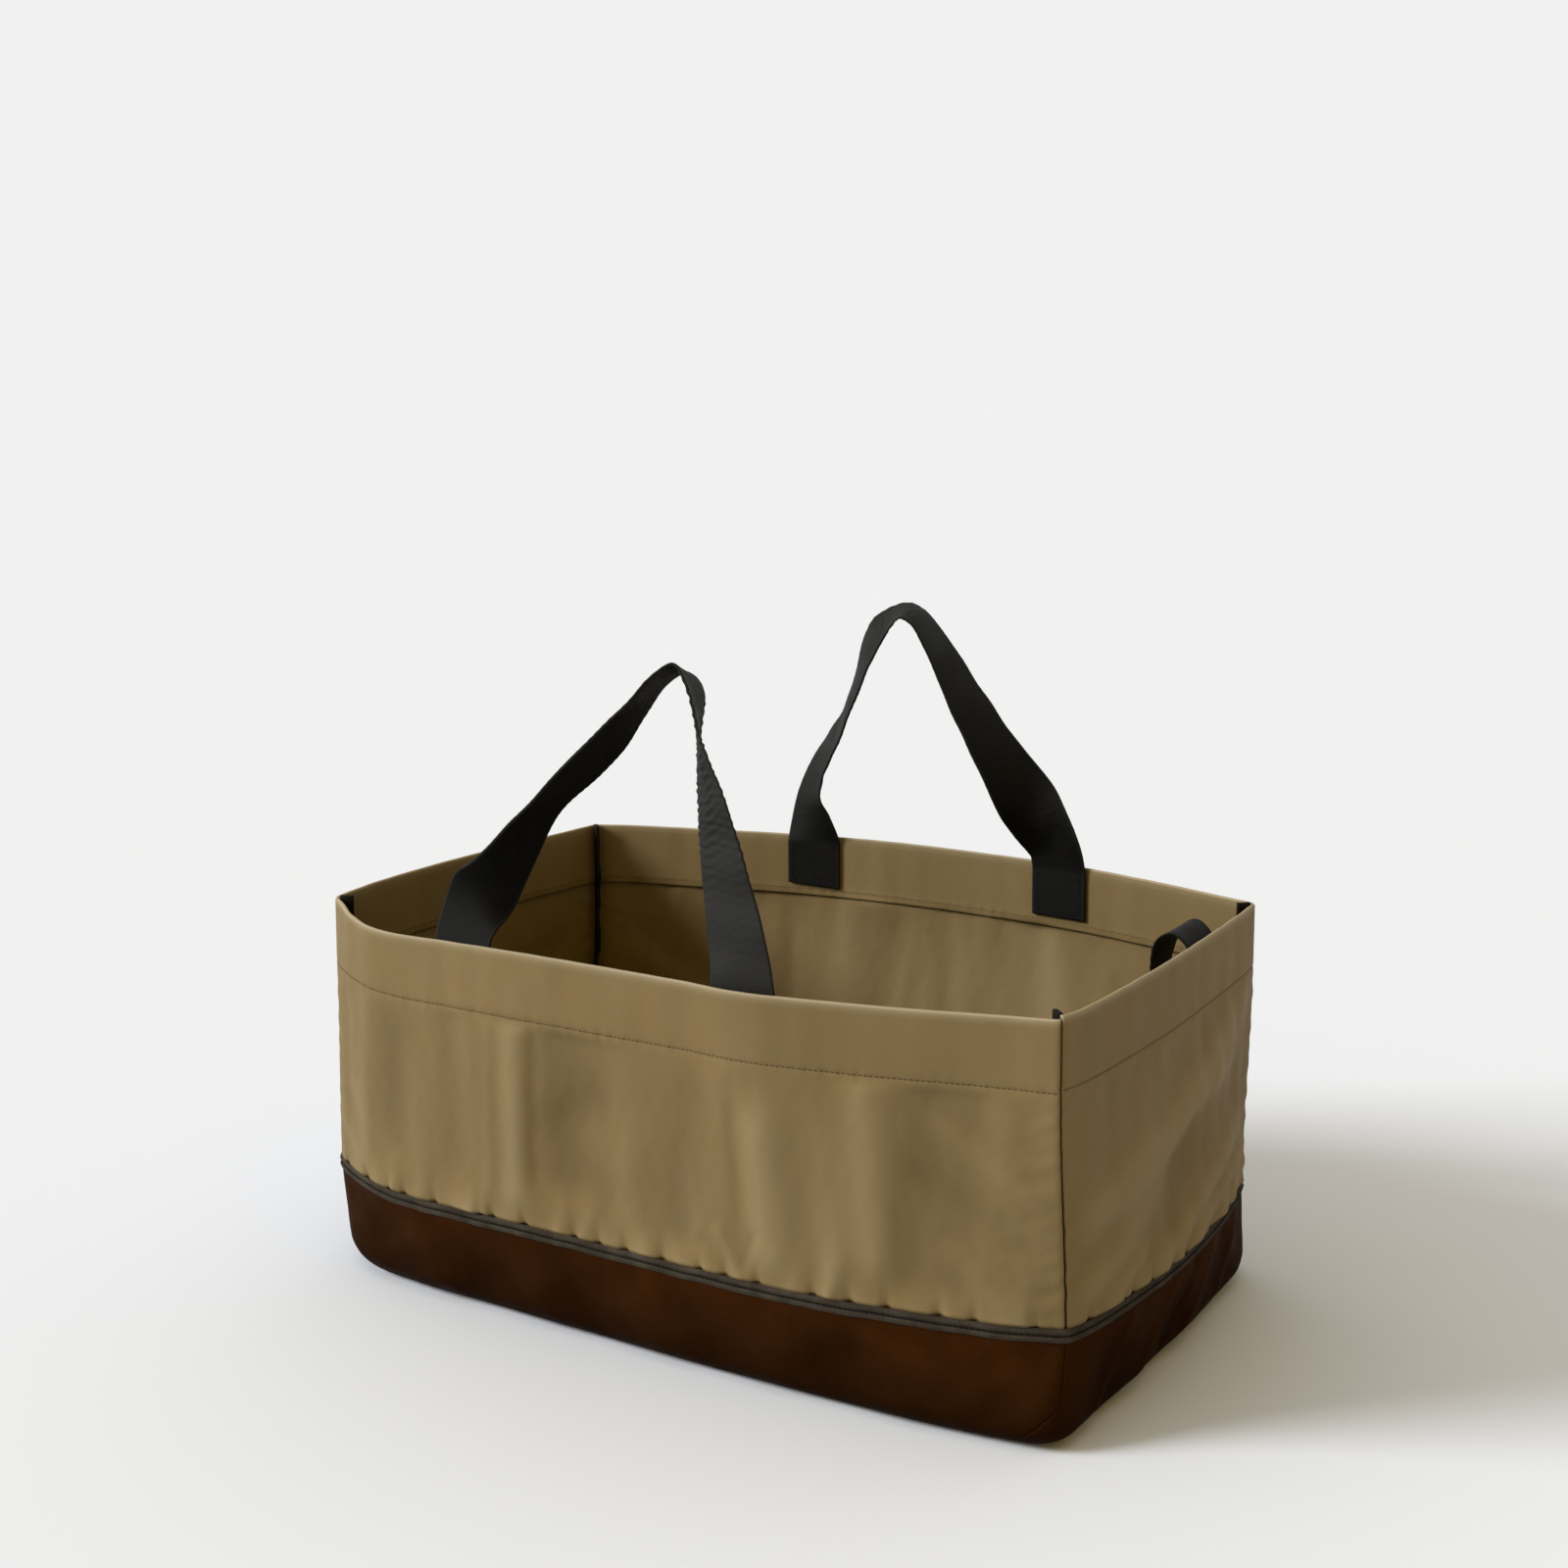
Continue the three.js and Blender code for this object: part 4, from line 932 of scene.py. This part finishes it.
tape = {
    "steps": 1000, "reach": 1.2, "flatShare": 0.35, "ridge": 0.8, "ridgeReach": 0.19, "ridgeAt": 0.26,
    "thickness": 0.6, "gap": 0.35, "backTo": -0.4, "edge": 0.5, "sideShift": 600.0, "seamReach": 0.07,
    "sway": (71, 55, 0.18), "swell": (72, 24, 0.14),    # seed, spacing, height
    # rows up the tape as shares of its width, those past its edges turned in
    "rows": (0.05, 0.12, 0.19, 0.26, 0.33, 0.4, 0.47, 0.5, 0.5),
}


def makeBand():
    # the tape's cross-section, out from the cloth against up, carried round the bag
    place = np.linspace(0, 4, tape["steps"], endpoint=False)
    half = np.array(tape["rows"])
    up = np.concatenate([-half[::-1], [0], half])
    ridges = sum(np.exp(-((up - c) / tape["ridgeReach"] * 1.4) ** 2)
                 for c in (-tape["ridgeAt"], tape["ridgeAt"]))
    out = tape["reach"] * tape["flatShare"] + tape["ridge"] * ridges
    out[[0, -1]], out[[1, -2]] = tape["backTo"], tape["edge"]
    side, share = splitPlace(place)
    along = share * sideLengths[side] + tape["sideShift"] * side
    sway, swelling = (tall * wavelets(seed, along, 0 * along, spacing, 0)
                      for seed, spacing, tall in (tape["sway"], tape["swell"]))
    behind = np.full(place.shape, bag["bandLevel"] - 1.5)
    normal = unit(outward(place, behind) * [1, 1, 0])
    grid = wallPoint(place, behind) + normal * (out[:, None] + swelling + tape["gap"])[..., None]
    grid[..., 2] = bag["bandLevel"] + up[:, None] * bag["bandWidth"] + sway
    uv = np.stack(np.broadcast_arrays(along, grid[..., 2]), -1)
    values = {"seam": np.exp(-(up / tape["seamReach"]) ** 2)[:, None]}
    piece = gridPiece("grey_band_tape", grid, uv, values, tape["thickness"], -1, closed=True)
    finish(piece, greyTape, ["band"])


makeBand()

webbing = {
    "width": 48.0, "thickness": 2.0, "footLength": 42.0, "restGap": 0.8, "steps": 480, "cup": 0.5,
    "flatPoints": 25, "flatTo": 0.97, "roundPoints": 5, "roundTo": 60, "freeOver": 25.0,
    # on the next line, after the rim: how the painted light fades in, how strong it is and how much more it
    # is on crease ridges
    "rimFrom": 0.95, "rimShade": 0.6, "paintedLightOver": 0.08, "wearAndPaintedLight": 0.85, "creaseHighlight": 0.9,
    "footPoints": 9, "drawnRows": 2.5, "softReach": 60.0,    # how the path is drawn and smoothed
    "leastWrinkle": 0.05, "wrinkleSpacing": 6.5, "rollHeight": 0.2, "rollSpacing": 42.0,
}

# middle line of the webbing, foot to foot: x, y, z, then turn and tilt of its width in degrees
frontHandleRows = np.array([
    [-141, -194.9, 272, -2, 0], [-140, -189, 286, 4, 0], [-133, -181, 303, 26, -6],
    [-116, -178, 325, 54, -8], [-83.6, -180.2, 362.2, 75.5, -9.8], [-38.7, -176.6, 403.3, 89.6, 9.7],
    [-8.5, -172.5, 436.1, 109.9, 18.7], [9.6, -167.4, 458, 117.9, 20.3],
    [23, -161.8, 467.7, 118.3, 16.3], [30.6, -160.3, 463.5, 112.5, 11],
    [38.4, -163.3, 448.2, 114.6, 5.4], [44.1, -170.1, 420.4, 126.7, 3.2],
    [54, -178.3, 399.1, 138.3, 3.4], [66.9, -186.6, 372.7, 150.5, 3.5],
    [81.2, -193.7, 331.8, 163.5, 2.4], [93.2, -198.9, 292.6, 173.8, 1.3], [95.8, -199.3, 272, 180, 0],
])
backHandleRows = np.array([
    [130.4, 194.3, 283.7, 0, 0], [128.5, 190, 298, 0, 4], [117, 184, 319, 14, 8],
    [104.5, 179.5, 341, 38, 5], [86.5, 177, 368, 62, -1], [62.9, 175.5, 403.8, 83, -10.1],
    [30.5, 170.8, 459.5, 102.7, -10.4], [14.2, 166.6, 477.2, 110.6, -9.5],
    [0.4, 164.1, 474.2, 126.3, -6.8], [-13.6, 162.8, 461.4, 133.4, -6.2],
    [-26.3, 167.4, 445.4, 129.2, -5.1], [-41.1, 175.4, 416.9, 123, -5.9],
    [-57.9, 184.1, 386.1, 120.2, -9.2], [-75.7, 192.8, 361.4, 124.3, -12.6],
    [-90, 197, 342, 130, -12], [-99, 198.1, 318, 142, -7], [-97.1, 199.8, 282.6, 180, 0],
])
strapRows = np.array([
    [302.9, -60, 254.9, -90, 0], [298.8, -60.1, 260, -90, 0], [291.2, -60.2, 262.1, -90, 0],
    [285.7, -59, 255.2, -90, 0], [282.8, -55.2, 235.3, -97, 0], [280.6, -44.3, 205.3, -118, 0],
    [278.2, -22, 181.4, -149, 0], [275.8, 3.6, 173.5, -179, 0], [273.5, 29.1, 183.6, -209, 0],
    [271.1, 52.1, 211.6, -241, 0], [268.9, 62.3, 243.7, -261, 0], [272.2, 66.2, 269.8, -269, 0],
    [283.6, 67.6, 279.9, -269, 0], [294.4, 67.7, 272, -269, 0], [300.4, 67.7, 256, -270, 0],
])
# feet: distances of both feet from the middle of their side; wrinkled: part of the path, height; last: part
# of the path from which light is painted on, for a leg that faces the lamp
loops = {
    "front_handle": {"side": 0, "rows": frontHandleRows, "feet": (-140.4, 96.4), "footTop": 4.0,
                     "seed": 81, "wrinkled": (0.56, 0.84, 0.26), "paintedLightFrom": 0.54},
    "back_handle": {"side": 2, "rows": backHandleRows, "feet": (-130.3, 97.1), "footTop": 4.0,
                    "seed": 82, "wrinkled": (0.45, 0.6, 0.08), "paintedLightFrom": 2.0},
    "right_end_strap": {"side": 1, "rows": strapRows, "feet": (-58.0, 70.0), "footTop": 22.0,
                        "seed": 83, "wrinkled": (0.4, 0.6, 0.08), "paintedLightFrom": 2.0},
}


def wallRest(side, share, height):
    # webbing against the innermost of five places across its width: middle and turn
    half = webbing["width"] / 2 / sideLengths[side]
    inset = bag["hemThickness"] + webbing["restGap"] + webbing["thickness"] / 2
    places = side + share + np.array([-1, -0.5, 0, 0.5, 1]) * half
    levels = np.full(5, height)
    marks = wallPoint(places, levels) - unit(outward(places, levels) * [1, 1, 0]) * inset
    across = marks[4] - marks[0]
    inwards = unit(np.array([-across[1], across[0], 0]))
    depth = np.max((marks - marks[0]) @ inwards)
    return marks[0] + across / 2 + inwards * depth, math.atan2(across[1], across[0])


def footShare(shape, end):
    return 0.5 + shape["feet"][end] / sideLengths[shape["side"]]


def restFoot(shape, end, depths):
    # middles and turns of a foot that lies flat on the wall, at depths below the rim
    side, share = shape["side"], footShare(shape, end)
    rim = float(rimHeight(np.array([side + share]))[0])
    found = [wallRest(side, share, rim - depth) for depth in depths]
    base = math.radians(shape["rows"][-end, 3])
    gaps = np.array([turn for _, turn in found]) - base
    turns = base + gaps - math.pi * np.round(gaps / math.pi)
    return np.column_stack([[middle for middle, _ in found], turns, 0 * turns])


def loopPath(shape):
    # both feet and a curve through the rows, whose ends are drawn onto the feet
    rows, last = shape["rows"], len(shape["rows"]) - 1
    depths = np.linspace(webbing["footLength"], shape["footTop"], webbing["footPoints"])
    first, final = restFoot(shape, 0, depths), restFoot(shape, 1, depths[::-1])
    index = np.linspace(0, last, webbing["steps"])
    indexed = np.column_stack([np.arange(last + 1), rows])
    free = np.column_stack([readTable(indexed, column, index) for column in range(1, 6)])
    free[:, 3:] = np.radians(free[:, 3:])
    startPull = ease(1 - index / webbing["drawnRows"])[:, None]
    endPull = ease(1 - (last - index) / webbing["drawnRows"])[:, None]
    free = free + (first[-1] - free[0]) * startPull + (final[0] - free[-1]) * endPull
    return evenPath(np.concatenate([first, free[1:-1], final]))


def evenPath(data):
    # the path with even steps, smoothed a little so that the webbing bends softly
    steps = np.linalg.norm(np.diff(data[:, :3], axis=0), axis=1)
    length = np.concatenate([[0], np.cumsum(steps)])
    even = np.linspace(0, length[-1], webbing["steps"])
    data = np.column_stack([np.interp(even, length, column) for column in data.T])
    kernel = np.exp(-np.linspace(-2, 2, 13) ** 2)
    kernel /= kernel.sum()
    padded = np.pad(data, ((6, 6), (0, 0)), mode="edge")
    soft = np.column_stack([np.convolve(column, kernel, "valid") for column in padded.T])
    keep = ease(np.minimum(even, length[-1] - even) / webbing["softReach"])[:, None]
    data = between(data, soft, keep)
    return data[:, :3], data[:, 3], data[:, 4], even


def makeWebbing(name, shape):
    points, turns, tilts, even = loopPath(shape)
    forward = unit(np.gradient(points, axis=0))
    width = np.stack([np.cos(turns), np.sin(turns) * np.cos(tilts), -np.sin(turns) * np.sin(tilts)], -1)
    width = unit(width - forward * (width * forward).sum(1, keepdims=True))
    through = np.cross(forward, width)
    # flat profile with round edges: across and through in shares of the half sizes
    flatTo, face = webbing["flatTo"], np.ones(webbing["flatPoints"])
    flat = np.linspace(-flatTo, flatTo, webbing["flatPoints"])
    side = np.radians(np.linspace(-webbing["roundTo"], webbing["roundTo"], webbing["roundPoints"]))
    edge = flatTo + (1 - flatTo) * np.cos(side)
    across = np.concatenate([flat, edge, flat[::-1], -edge])
    thick = np.concatenate([-face, np.sin(side), face, -np.sin(side)])
    a = across[None] * webbing["width"] / 2
    b = thick[None] * webbing["thickness"] / 2
    free = ease((np.minimum(even, even[-1] - even) - webbing["footLength"]) / webbing["freeOver"])[:, None]
    start, stop, tall = shape["wrinkled"]
    part = even[:, None] / even[-1]
    wrinkled = webbing["leastWrinkle"] + tall * ease((part - start) / 0.05) * ease((stop - part) / 0.12)
    crease = wrinkled * wavelets(shape["seed"], even[:, None] + 0.12 * a, a, webbing["wrinkleSpacing"], 0.3)
    roll = wavelets(shape["seed"] + 10, even[:, None], 0.6 * a, webbing["rollSpacing"], 0.6)
    crease = (crease + webbing["rollHeight"] * roll) * free
    cup = webbing["cup"] * (across[None] ** 2 - 0.4) * free
    grid = points[:, None] + width[:, None] * a[..., None]
    grid = grid + through[:, None] * (b + crease + cup)[..., None]
    uv = np.stack(np.broadcast_arrays(a + webbing["width"] / 2, even[:, None]), -1)
    # painted light on the part of the path that faces the lamp, the front handle's right leg, stronger on
    # its crease ridges
    wearAndPaintedLight = ease((part - shape["paintedLightFrom"]) / webbing["paintedLightOver"])
    wearAndPaintedLight = wearAndPaintedLight * (webbing["wearAndPaintedLight"] + webbing["creaseHighlight"] * np.clip(crease, -0.5, 0.5))
    values = {"rim": webbing["rimShade"] * (np.abs(across) > webbing["rimFrom"]), "wearAndPaintedLight": wearAndPaintedLight}
    # the profile's points are taken the other way round, so that the faces point outwards
    values = {key: np.broadcast_to(data, grid.shape[:2])[:, ::-1] for key, data in values.items()}
    piece = gridPiece(name, grid[:, ::-1], uv[:, ::-1], values, closed=True)
    capEnds(piece, *grid.shape[:2])
    finish(piece, blackWebbing, [name.replace("_webbing", "")])


def capEnds(piece, rows, columns):
    # one face over the first row of points and one over the last
    work = bmesh.new()
    work.from_mesh(piece.data)
    work.verts.ensure_lookup_table()
    first = [work.verts[k] for k in range(columns)]
    last = [work.verts[(rows - 1) * columns + k] for k in range(columns)]
    work.faces.new(first[::-1])
    work.faces.new(last)
    bmesh.ops.recalc_face_normals(work, faces=work.faces)
    work.to_mesh(piece.data)
    work.free()


print("making the handles and the end strap")
for name, shape in loops.items():
    makeWebbing(name + "_webbing", shape)

binding = {
    "width": 10.0, "thickness": 3.4, "steps": 60, "below": 4.0, "top": 0.7,
    "wallInset": 2.4, "hemInset": 3.6, "sway": 0.5, "swaySpacing": 40.0, "seed": 90,
}


def makeBinding(index, name):
    # tape folded over the seam edges: a rounded U profile that stands inwards from the seam
    low, rim = bag["bandLevel"] - binding["below"], float(rimHeight(np.array([float(index)]))[0])
    heights = np.linspace(low, rim + binding["top"], binding["steps"])
    level = np.minimum(heights, rim)
    place = np.full(heights.shape, float(index))
    inHem = ease((heights - stitchHeight(place)) / 6 + 1)
    inset = between(binding["wallInset"], binding["hemInset"], inHem)
    point = wallPoint(place, level)
    direction = unit(outward(place, level) * [1, 1, 0])
    across = np.stack([-direction[:, 1], direction[:, 0], 0 * level], -1)
    angle = np.radians(np.linspace(-90, 90, 9))
    half = binding["thickness"] / 2
    out = np.concatenate([[0, 0.5], binding["width"] - half + half * np.cos(angle), [0.5, 0]])
    wide = np.concatenate([[-half * 0.8, -half], half * np.sin(angle), [half, half * 0.8]])
    sway = wavelets(binding["seed"] + index, heights, 0 * heights, binding["swaySpacing"], 0)
    sway = binding["sway"] * sway[:, None]
    grid = point[:, None] - direction[:, None] * (out[None] + inset[:, None])[..., None]
    grid = grid + across[:, None] * (wide[None] + sway * (out / binding["width"])[None])[..., None]
    grid[..., 2] = heights[:, None]
    uv = np.stack(np.broadcast_arrays(out[None], heights[:, None]), -1)
    piece = gridPiece(name, grid, uv, {}, closed=True)
    capEnds(piece, *grid.shape[:2])
    finish(piece, darkTape, [name.replace("_tape", "")])


print("making the corner bindings")
for index, corner in enumerate(["front_left", "front_right", "back_right", "back_left"]):
    makeBinding(index, corner + "_binding_tape")

stitch = {
    "pitch": 3.6, "length": 2.7, "radius": 0.3, "margin": 4.0, "sunk": 0.02,
    "hemInside": 2.45, "onTape": 1.15, "boxHalf": 19.0, "boxMargin": 4.0,
}


def stitchTemplate():
    # a thread that rises from the cloth and dips back: rings of six points along an arch
    length, radius = stitch["length"], stitch["radius"]
    along = np.array([-0.5, -0.42, -0.2, 0.2, 0.42, 0.5]) * length
    size = np.array([0.3, 0.8, 1, 1, 0.8, 0.3]) * radius
    lift = np.array([-0.7, 0.0, 0.35, 0.35, 0.0, -0.7]) * radius
    angle = np.radians(np.arange(0, 360, 60))
    ring = np.stack([np.cos(angle), np.sin(angle)], -1)
    points = np.array([[[a, s * c, l + s * d] for c, d in ring] for a, s, l in zip(along, size, lift)])
    faces = gridFaces(len(along), 6, closed=True)[:, ::-1]
    return points.reshape(-1, 3), faces


def makeStitches(name, parts, look):
    # the template at every stitch, its axes turned along the seam, across it and out of the cloth
    centres, forward, out = (np.concatenate([part[k] for part in parts]) for k in range(3))
    points, faces = stitchTemplate()
    side = np.cross(out, forward)
    basis = np.stack([forward, side, out], 1)
    grid = centres[:, None] + np.einsum("pk,nkd->npd", points, basis)
    every = faces[None] + (np.arange(len(centres)) * len(points))[:, None, None]
    piece = meshFrom(name, grid.reshape(-1, 3), every.reshape(-1, 4))
    finish(piece, look)


def stitchRow(side, height, inset, outSign):
    # even stitches along one side, at the height of its seam: middles, directions and normals
    length = sideLengths[side]
    place = side + np.arange(stitch["margin"], length - stitch["margin"], stitch["pitch"]) / length
    level = height(place)
    normal = outward(place, level)
    centre = wallPoint(place, level) - normal * inset
    forward = unit(wallPoint(place + 0.5 / length, height(place + 0.5 / length)) -
                   wallPoint(place - 0.5 / length, height(place - 0.5 / length)))
    normal = unit(normal - forward * (normal * forward).sum(1, keepdims=True))
    return centre, forward, normal * outSign


print("making the stitching")
outer = [stitchRow(side, stitchHeight, stitch["sunk"], 1) for side in range(4)]
inner = [stitchRow(side, stitchHeight, stitch["hemInside"], -1) for side in range(4)]
makeStitches("hem_stitches", outer + inner, tanThread)


def bandSeam(place):
    return np.full(place.shape, bag["bandLevel"] - 0.1)


onBand = [stitchRow(side, bandSeam, -stitch["onTape"], 1) for side in range(4)]
makeStitches("band_stitches", onBand, darkThread)


def footStitches(name, shape):
    # a box with a cross sewn through each foot, on the side that shows inside the bag
    parts = []
    high, low = shape["footTop"] + stitch["boxMargin"], webbing["footLength"] - stitch["boxMargin"]
    half = stitch["boxHalf"]
    corners = np.array([[-half, high], [half, high], [half, low], [-half, low]])
    lines = [(0, 1), (1, 2), (2, 3), (3, 0), (0, 2), (1, 3)]
    side = shape["side"]
    for end in (0, 1):
        share = footShare(shape, end)
        rim = float(rimHeight(np.array([side + share]))[0])
        top, turn = wallRest(side, share, rim - high)
        across = np.array([math.cos(turn), math.sin(turn), 0])
        down = (wallRest(side, share, rim - low)[0] - top) / (low - high)
        inwards = unit(np.cross(down, across))
        if inwards @ np.array([-top[0], -top[1], 0]) < 0:
            inwards = -inwards
        for a, b in lines:
            start, end = corners[a], corners[b]
            count = int(np.linalg.norm(end - start) / stitch["pitch"])
            t = ((np.arange(count) + 0.5) / count)[:, None]
            flat = between(start, end, t)
            centre = top + across * flat[:, :1] + down * (flat[:, 1:] - high)
            centre = centre + inwards * (webbing["thickness"] / 2 + stitch["sunk"])
            forward = unit(across * (end - start)[0] + down * (end - start)[1])
            parts.append((centre, np.tile(forward, (count, 1)), np.tile(inwards, (count, 1))))
    makeStitches(name, parts, darkThread)


for name, shape in loops.items():
    footStitches(name + "_stitches", shape)

# Stage: pale floor, soft light, camera
stage = {
    "floor": (0.5919, 0.6169, 0.6737, 1), "floorSize": 600.0,
    "sky": (0.88, 0.88, 0.875, 1), "top": (1.25, 1.23, 1.18, 1), "topFrom": 0.3, "topTo": 1.0,
    "flag": (0.52, 0.34, 0.0, 1), "flagSide": (0.86, -0.51, 0.0), "flagFrom": -0.1, "flagTo": 0.5,
    "flagLow": 0.19, "flagHigh": 0.32,
    "sunFrom": (-0.72, -0.56, 0.5), "sunColour": (0.97, 0.985, 1.0), "sunStrength": 4.05, "sunAngle": 22.0,
    "cameraPlace": (0.81989, -1.28973, 0.6318), "yaw": 0.5655, "pitch": 0.1725, "roll": -0.0079,
    "lens": 49.04,
}


def makeStage():
    # a floor that runs out of sight and a pale sky, brighter overhead and warmer towards the right end
    half = stage["floorSize"] / 2
    corners = np.array([[-half, -half, 0], [half, -half, 0], [half, half, 0], [-half, half, 0]]) * 1000
    floor = meshFrom("studio_floor", corners, np.array([[0, 1, 2, 3]]))
    look, tree, shader = newLook("studio_floor", 0.0, 1.0)
    shader.inputs["Base Color"].default_value = stage["floor"]
    floor.data.materials.append(look)
    world = bpy.data.worlds.new("studio")
    world.use_nodes = True
    tree = world.node_tree
    direction = add(tree, "ShaderNodeTexCoord").outputs["Generated"]
    facing = add(tree, "ShaderNodeVectorMath", {0: direction, 1: stage["flagSide"]}, operation="DOT_PRODUCT")
    high = add(tree, "ShaderNodeSeparateXYZ", {0: direction}).outputs[2]
    share = compute(tree, "MULTIPLY", ramp(tree, high, stage["flagLow"], stage["flagHigh"]),
                    ramp(tree, facing.outputs["Value"], stage["flagFrom"], stage["flagTo"]))
    colour = blend(tree, ramp(tree, high, stage["topFrom"], stage["topTo"]), stage["sky"], stage["top"])
    colour = blend(tree, share, colour, stage["flag"])
    tree.links.new(colour, tree.nodes["Background"].inputs["Color"])
    bpy.context.scene.world = world


def makeSun():
    # one broad, soft lamp low on the left
    light = bpy.data.lights.new("key", "SUN")
    light.energy = stage["sunStrength"]
    light.angle = math.radians(stage["sunAngle"])
    light.color = stage["sunColour"]
    lamp = bpy.data.objects.new("key", light)
    back = unit(np.array(stage["sunFrom"]))
    right = unit(np.cross([0, 0, 1], back))
    axes = np.stack([right, np.cross(back, right), back], 1)
    lamp.matrix_world = Matrix([[*row, 2 * p] for row, p in zip(axes, back)] + [[0, 0, 0, 1]])
    bpy.context.scene.collection.objects.link(lamp)


def makeCamera():
    yaw, pitch, roll = stage["yaw"], stage["pitch"], stage["roll"]
    look = np.array([-math.sin(yaw) * math.cos(pitch), math.cos(yaw) * math.cos(pitch), -math.sin(pitch)])
    right = unit(np.cross(look, [0, 0, 1]))
    up = np.cross(right, look)
    turnedRight = right * math.cos(roll) + up * math.sin(roll)
    turnedUp = up * math.cos(roll) - right * math.sin(roll)
    data = bpy.data.cameras.new("camera")
    data.sensor_width = 36
    data.sensor_fit = "HORIZONTAL"
    data.lens = stage["lens"]
    data.clip_start, data.clip_end = 0.05, 900
    camera = bpy.data.objects.new("camera", data)
    axes = np.stack([turnedRight, turnedUp, -look], 1)
    camera.matrix_world = Matrix([[*row, p] for row, p in zip(axes, stage["cameraPlace"])] + [[0, 0, 0, 1]])
    bpy.context.scene.collection.objects.link(camera)
    bpy.context.scene.camera = camera


print("setting the stage")
makeStage()
makeSun()
makeCamera()
bpy.context.scene.view_settings.view_transform = "Standard"
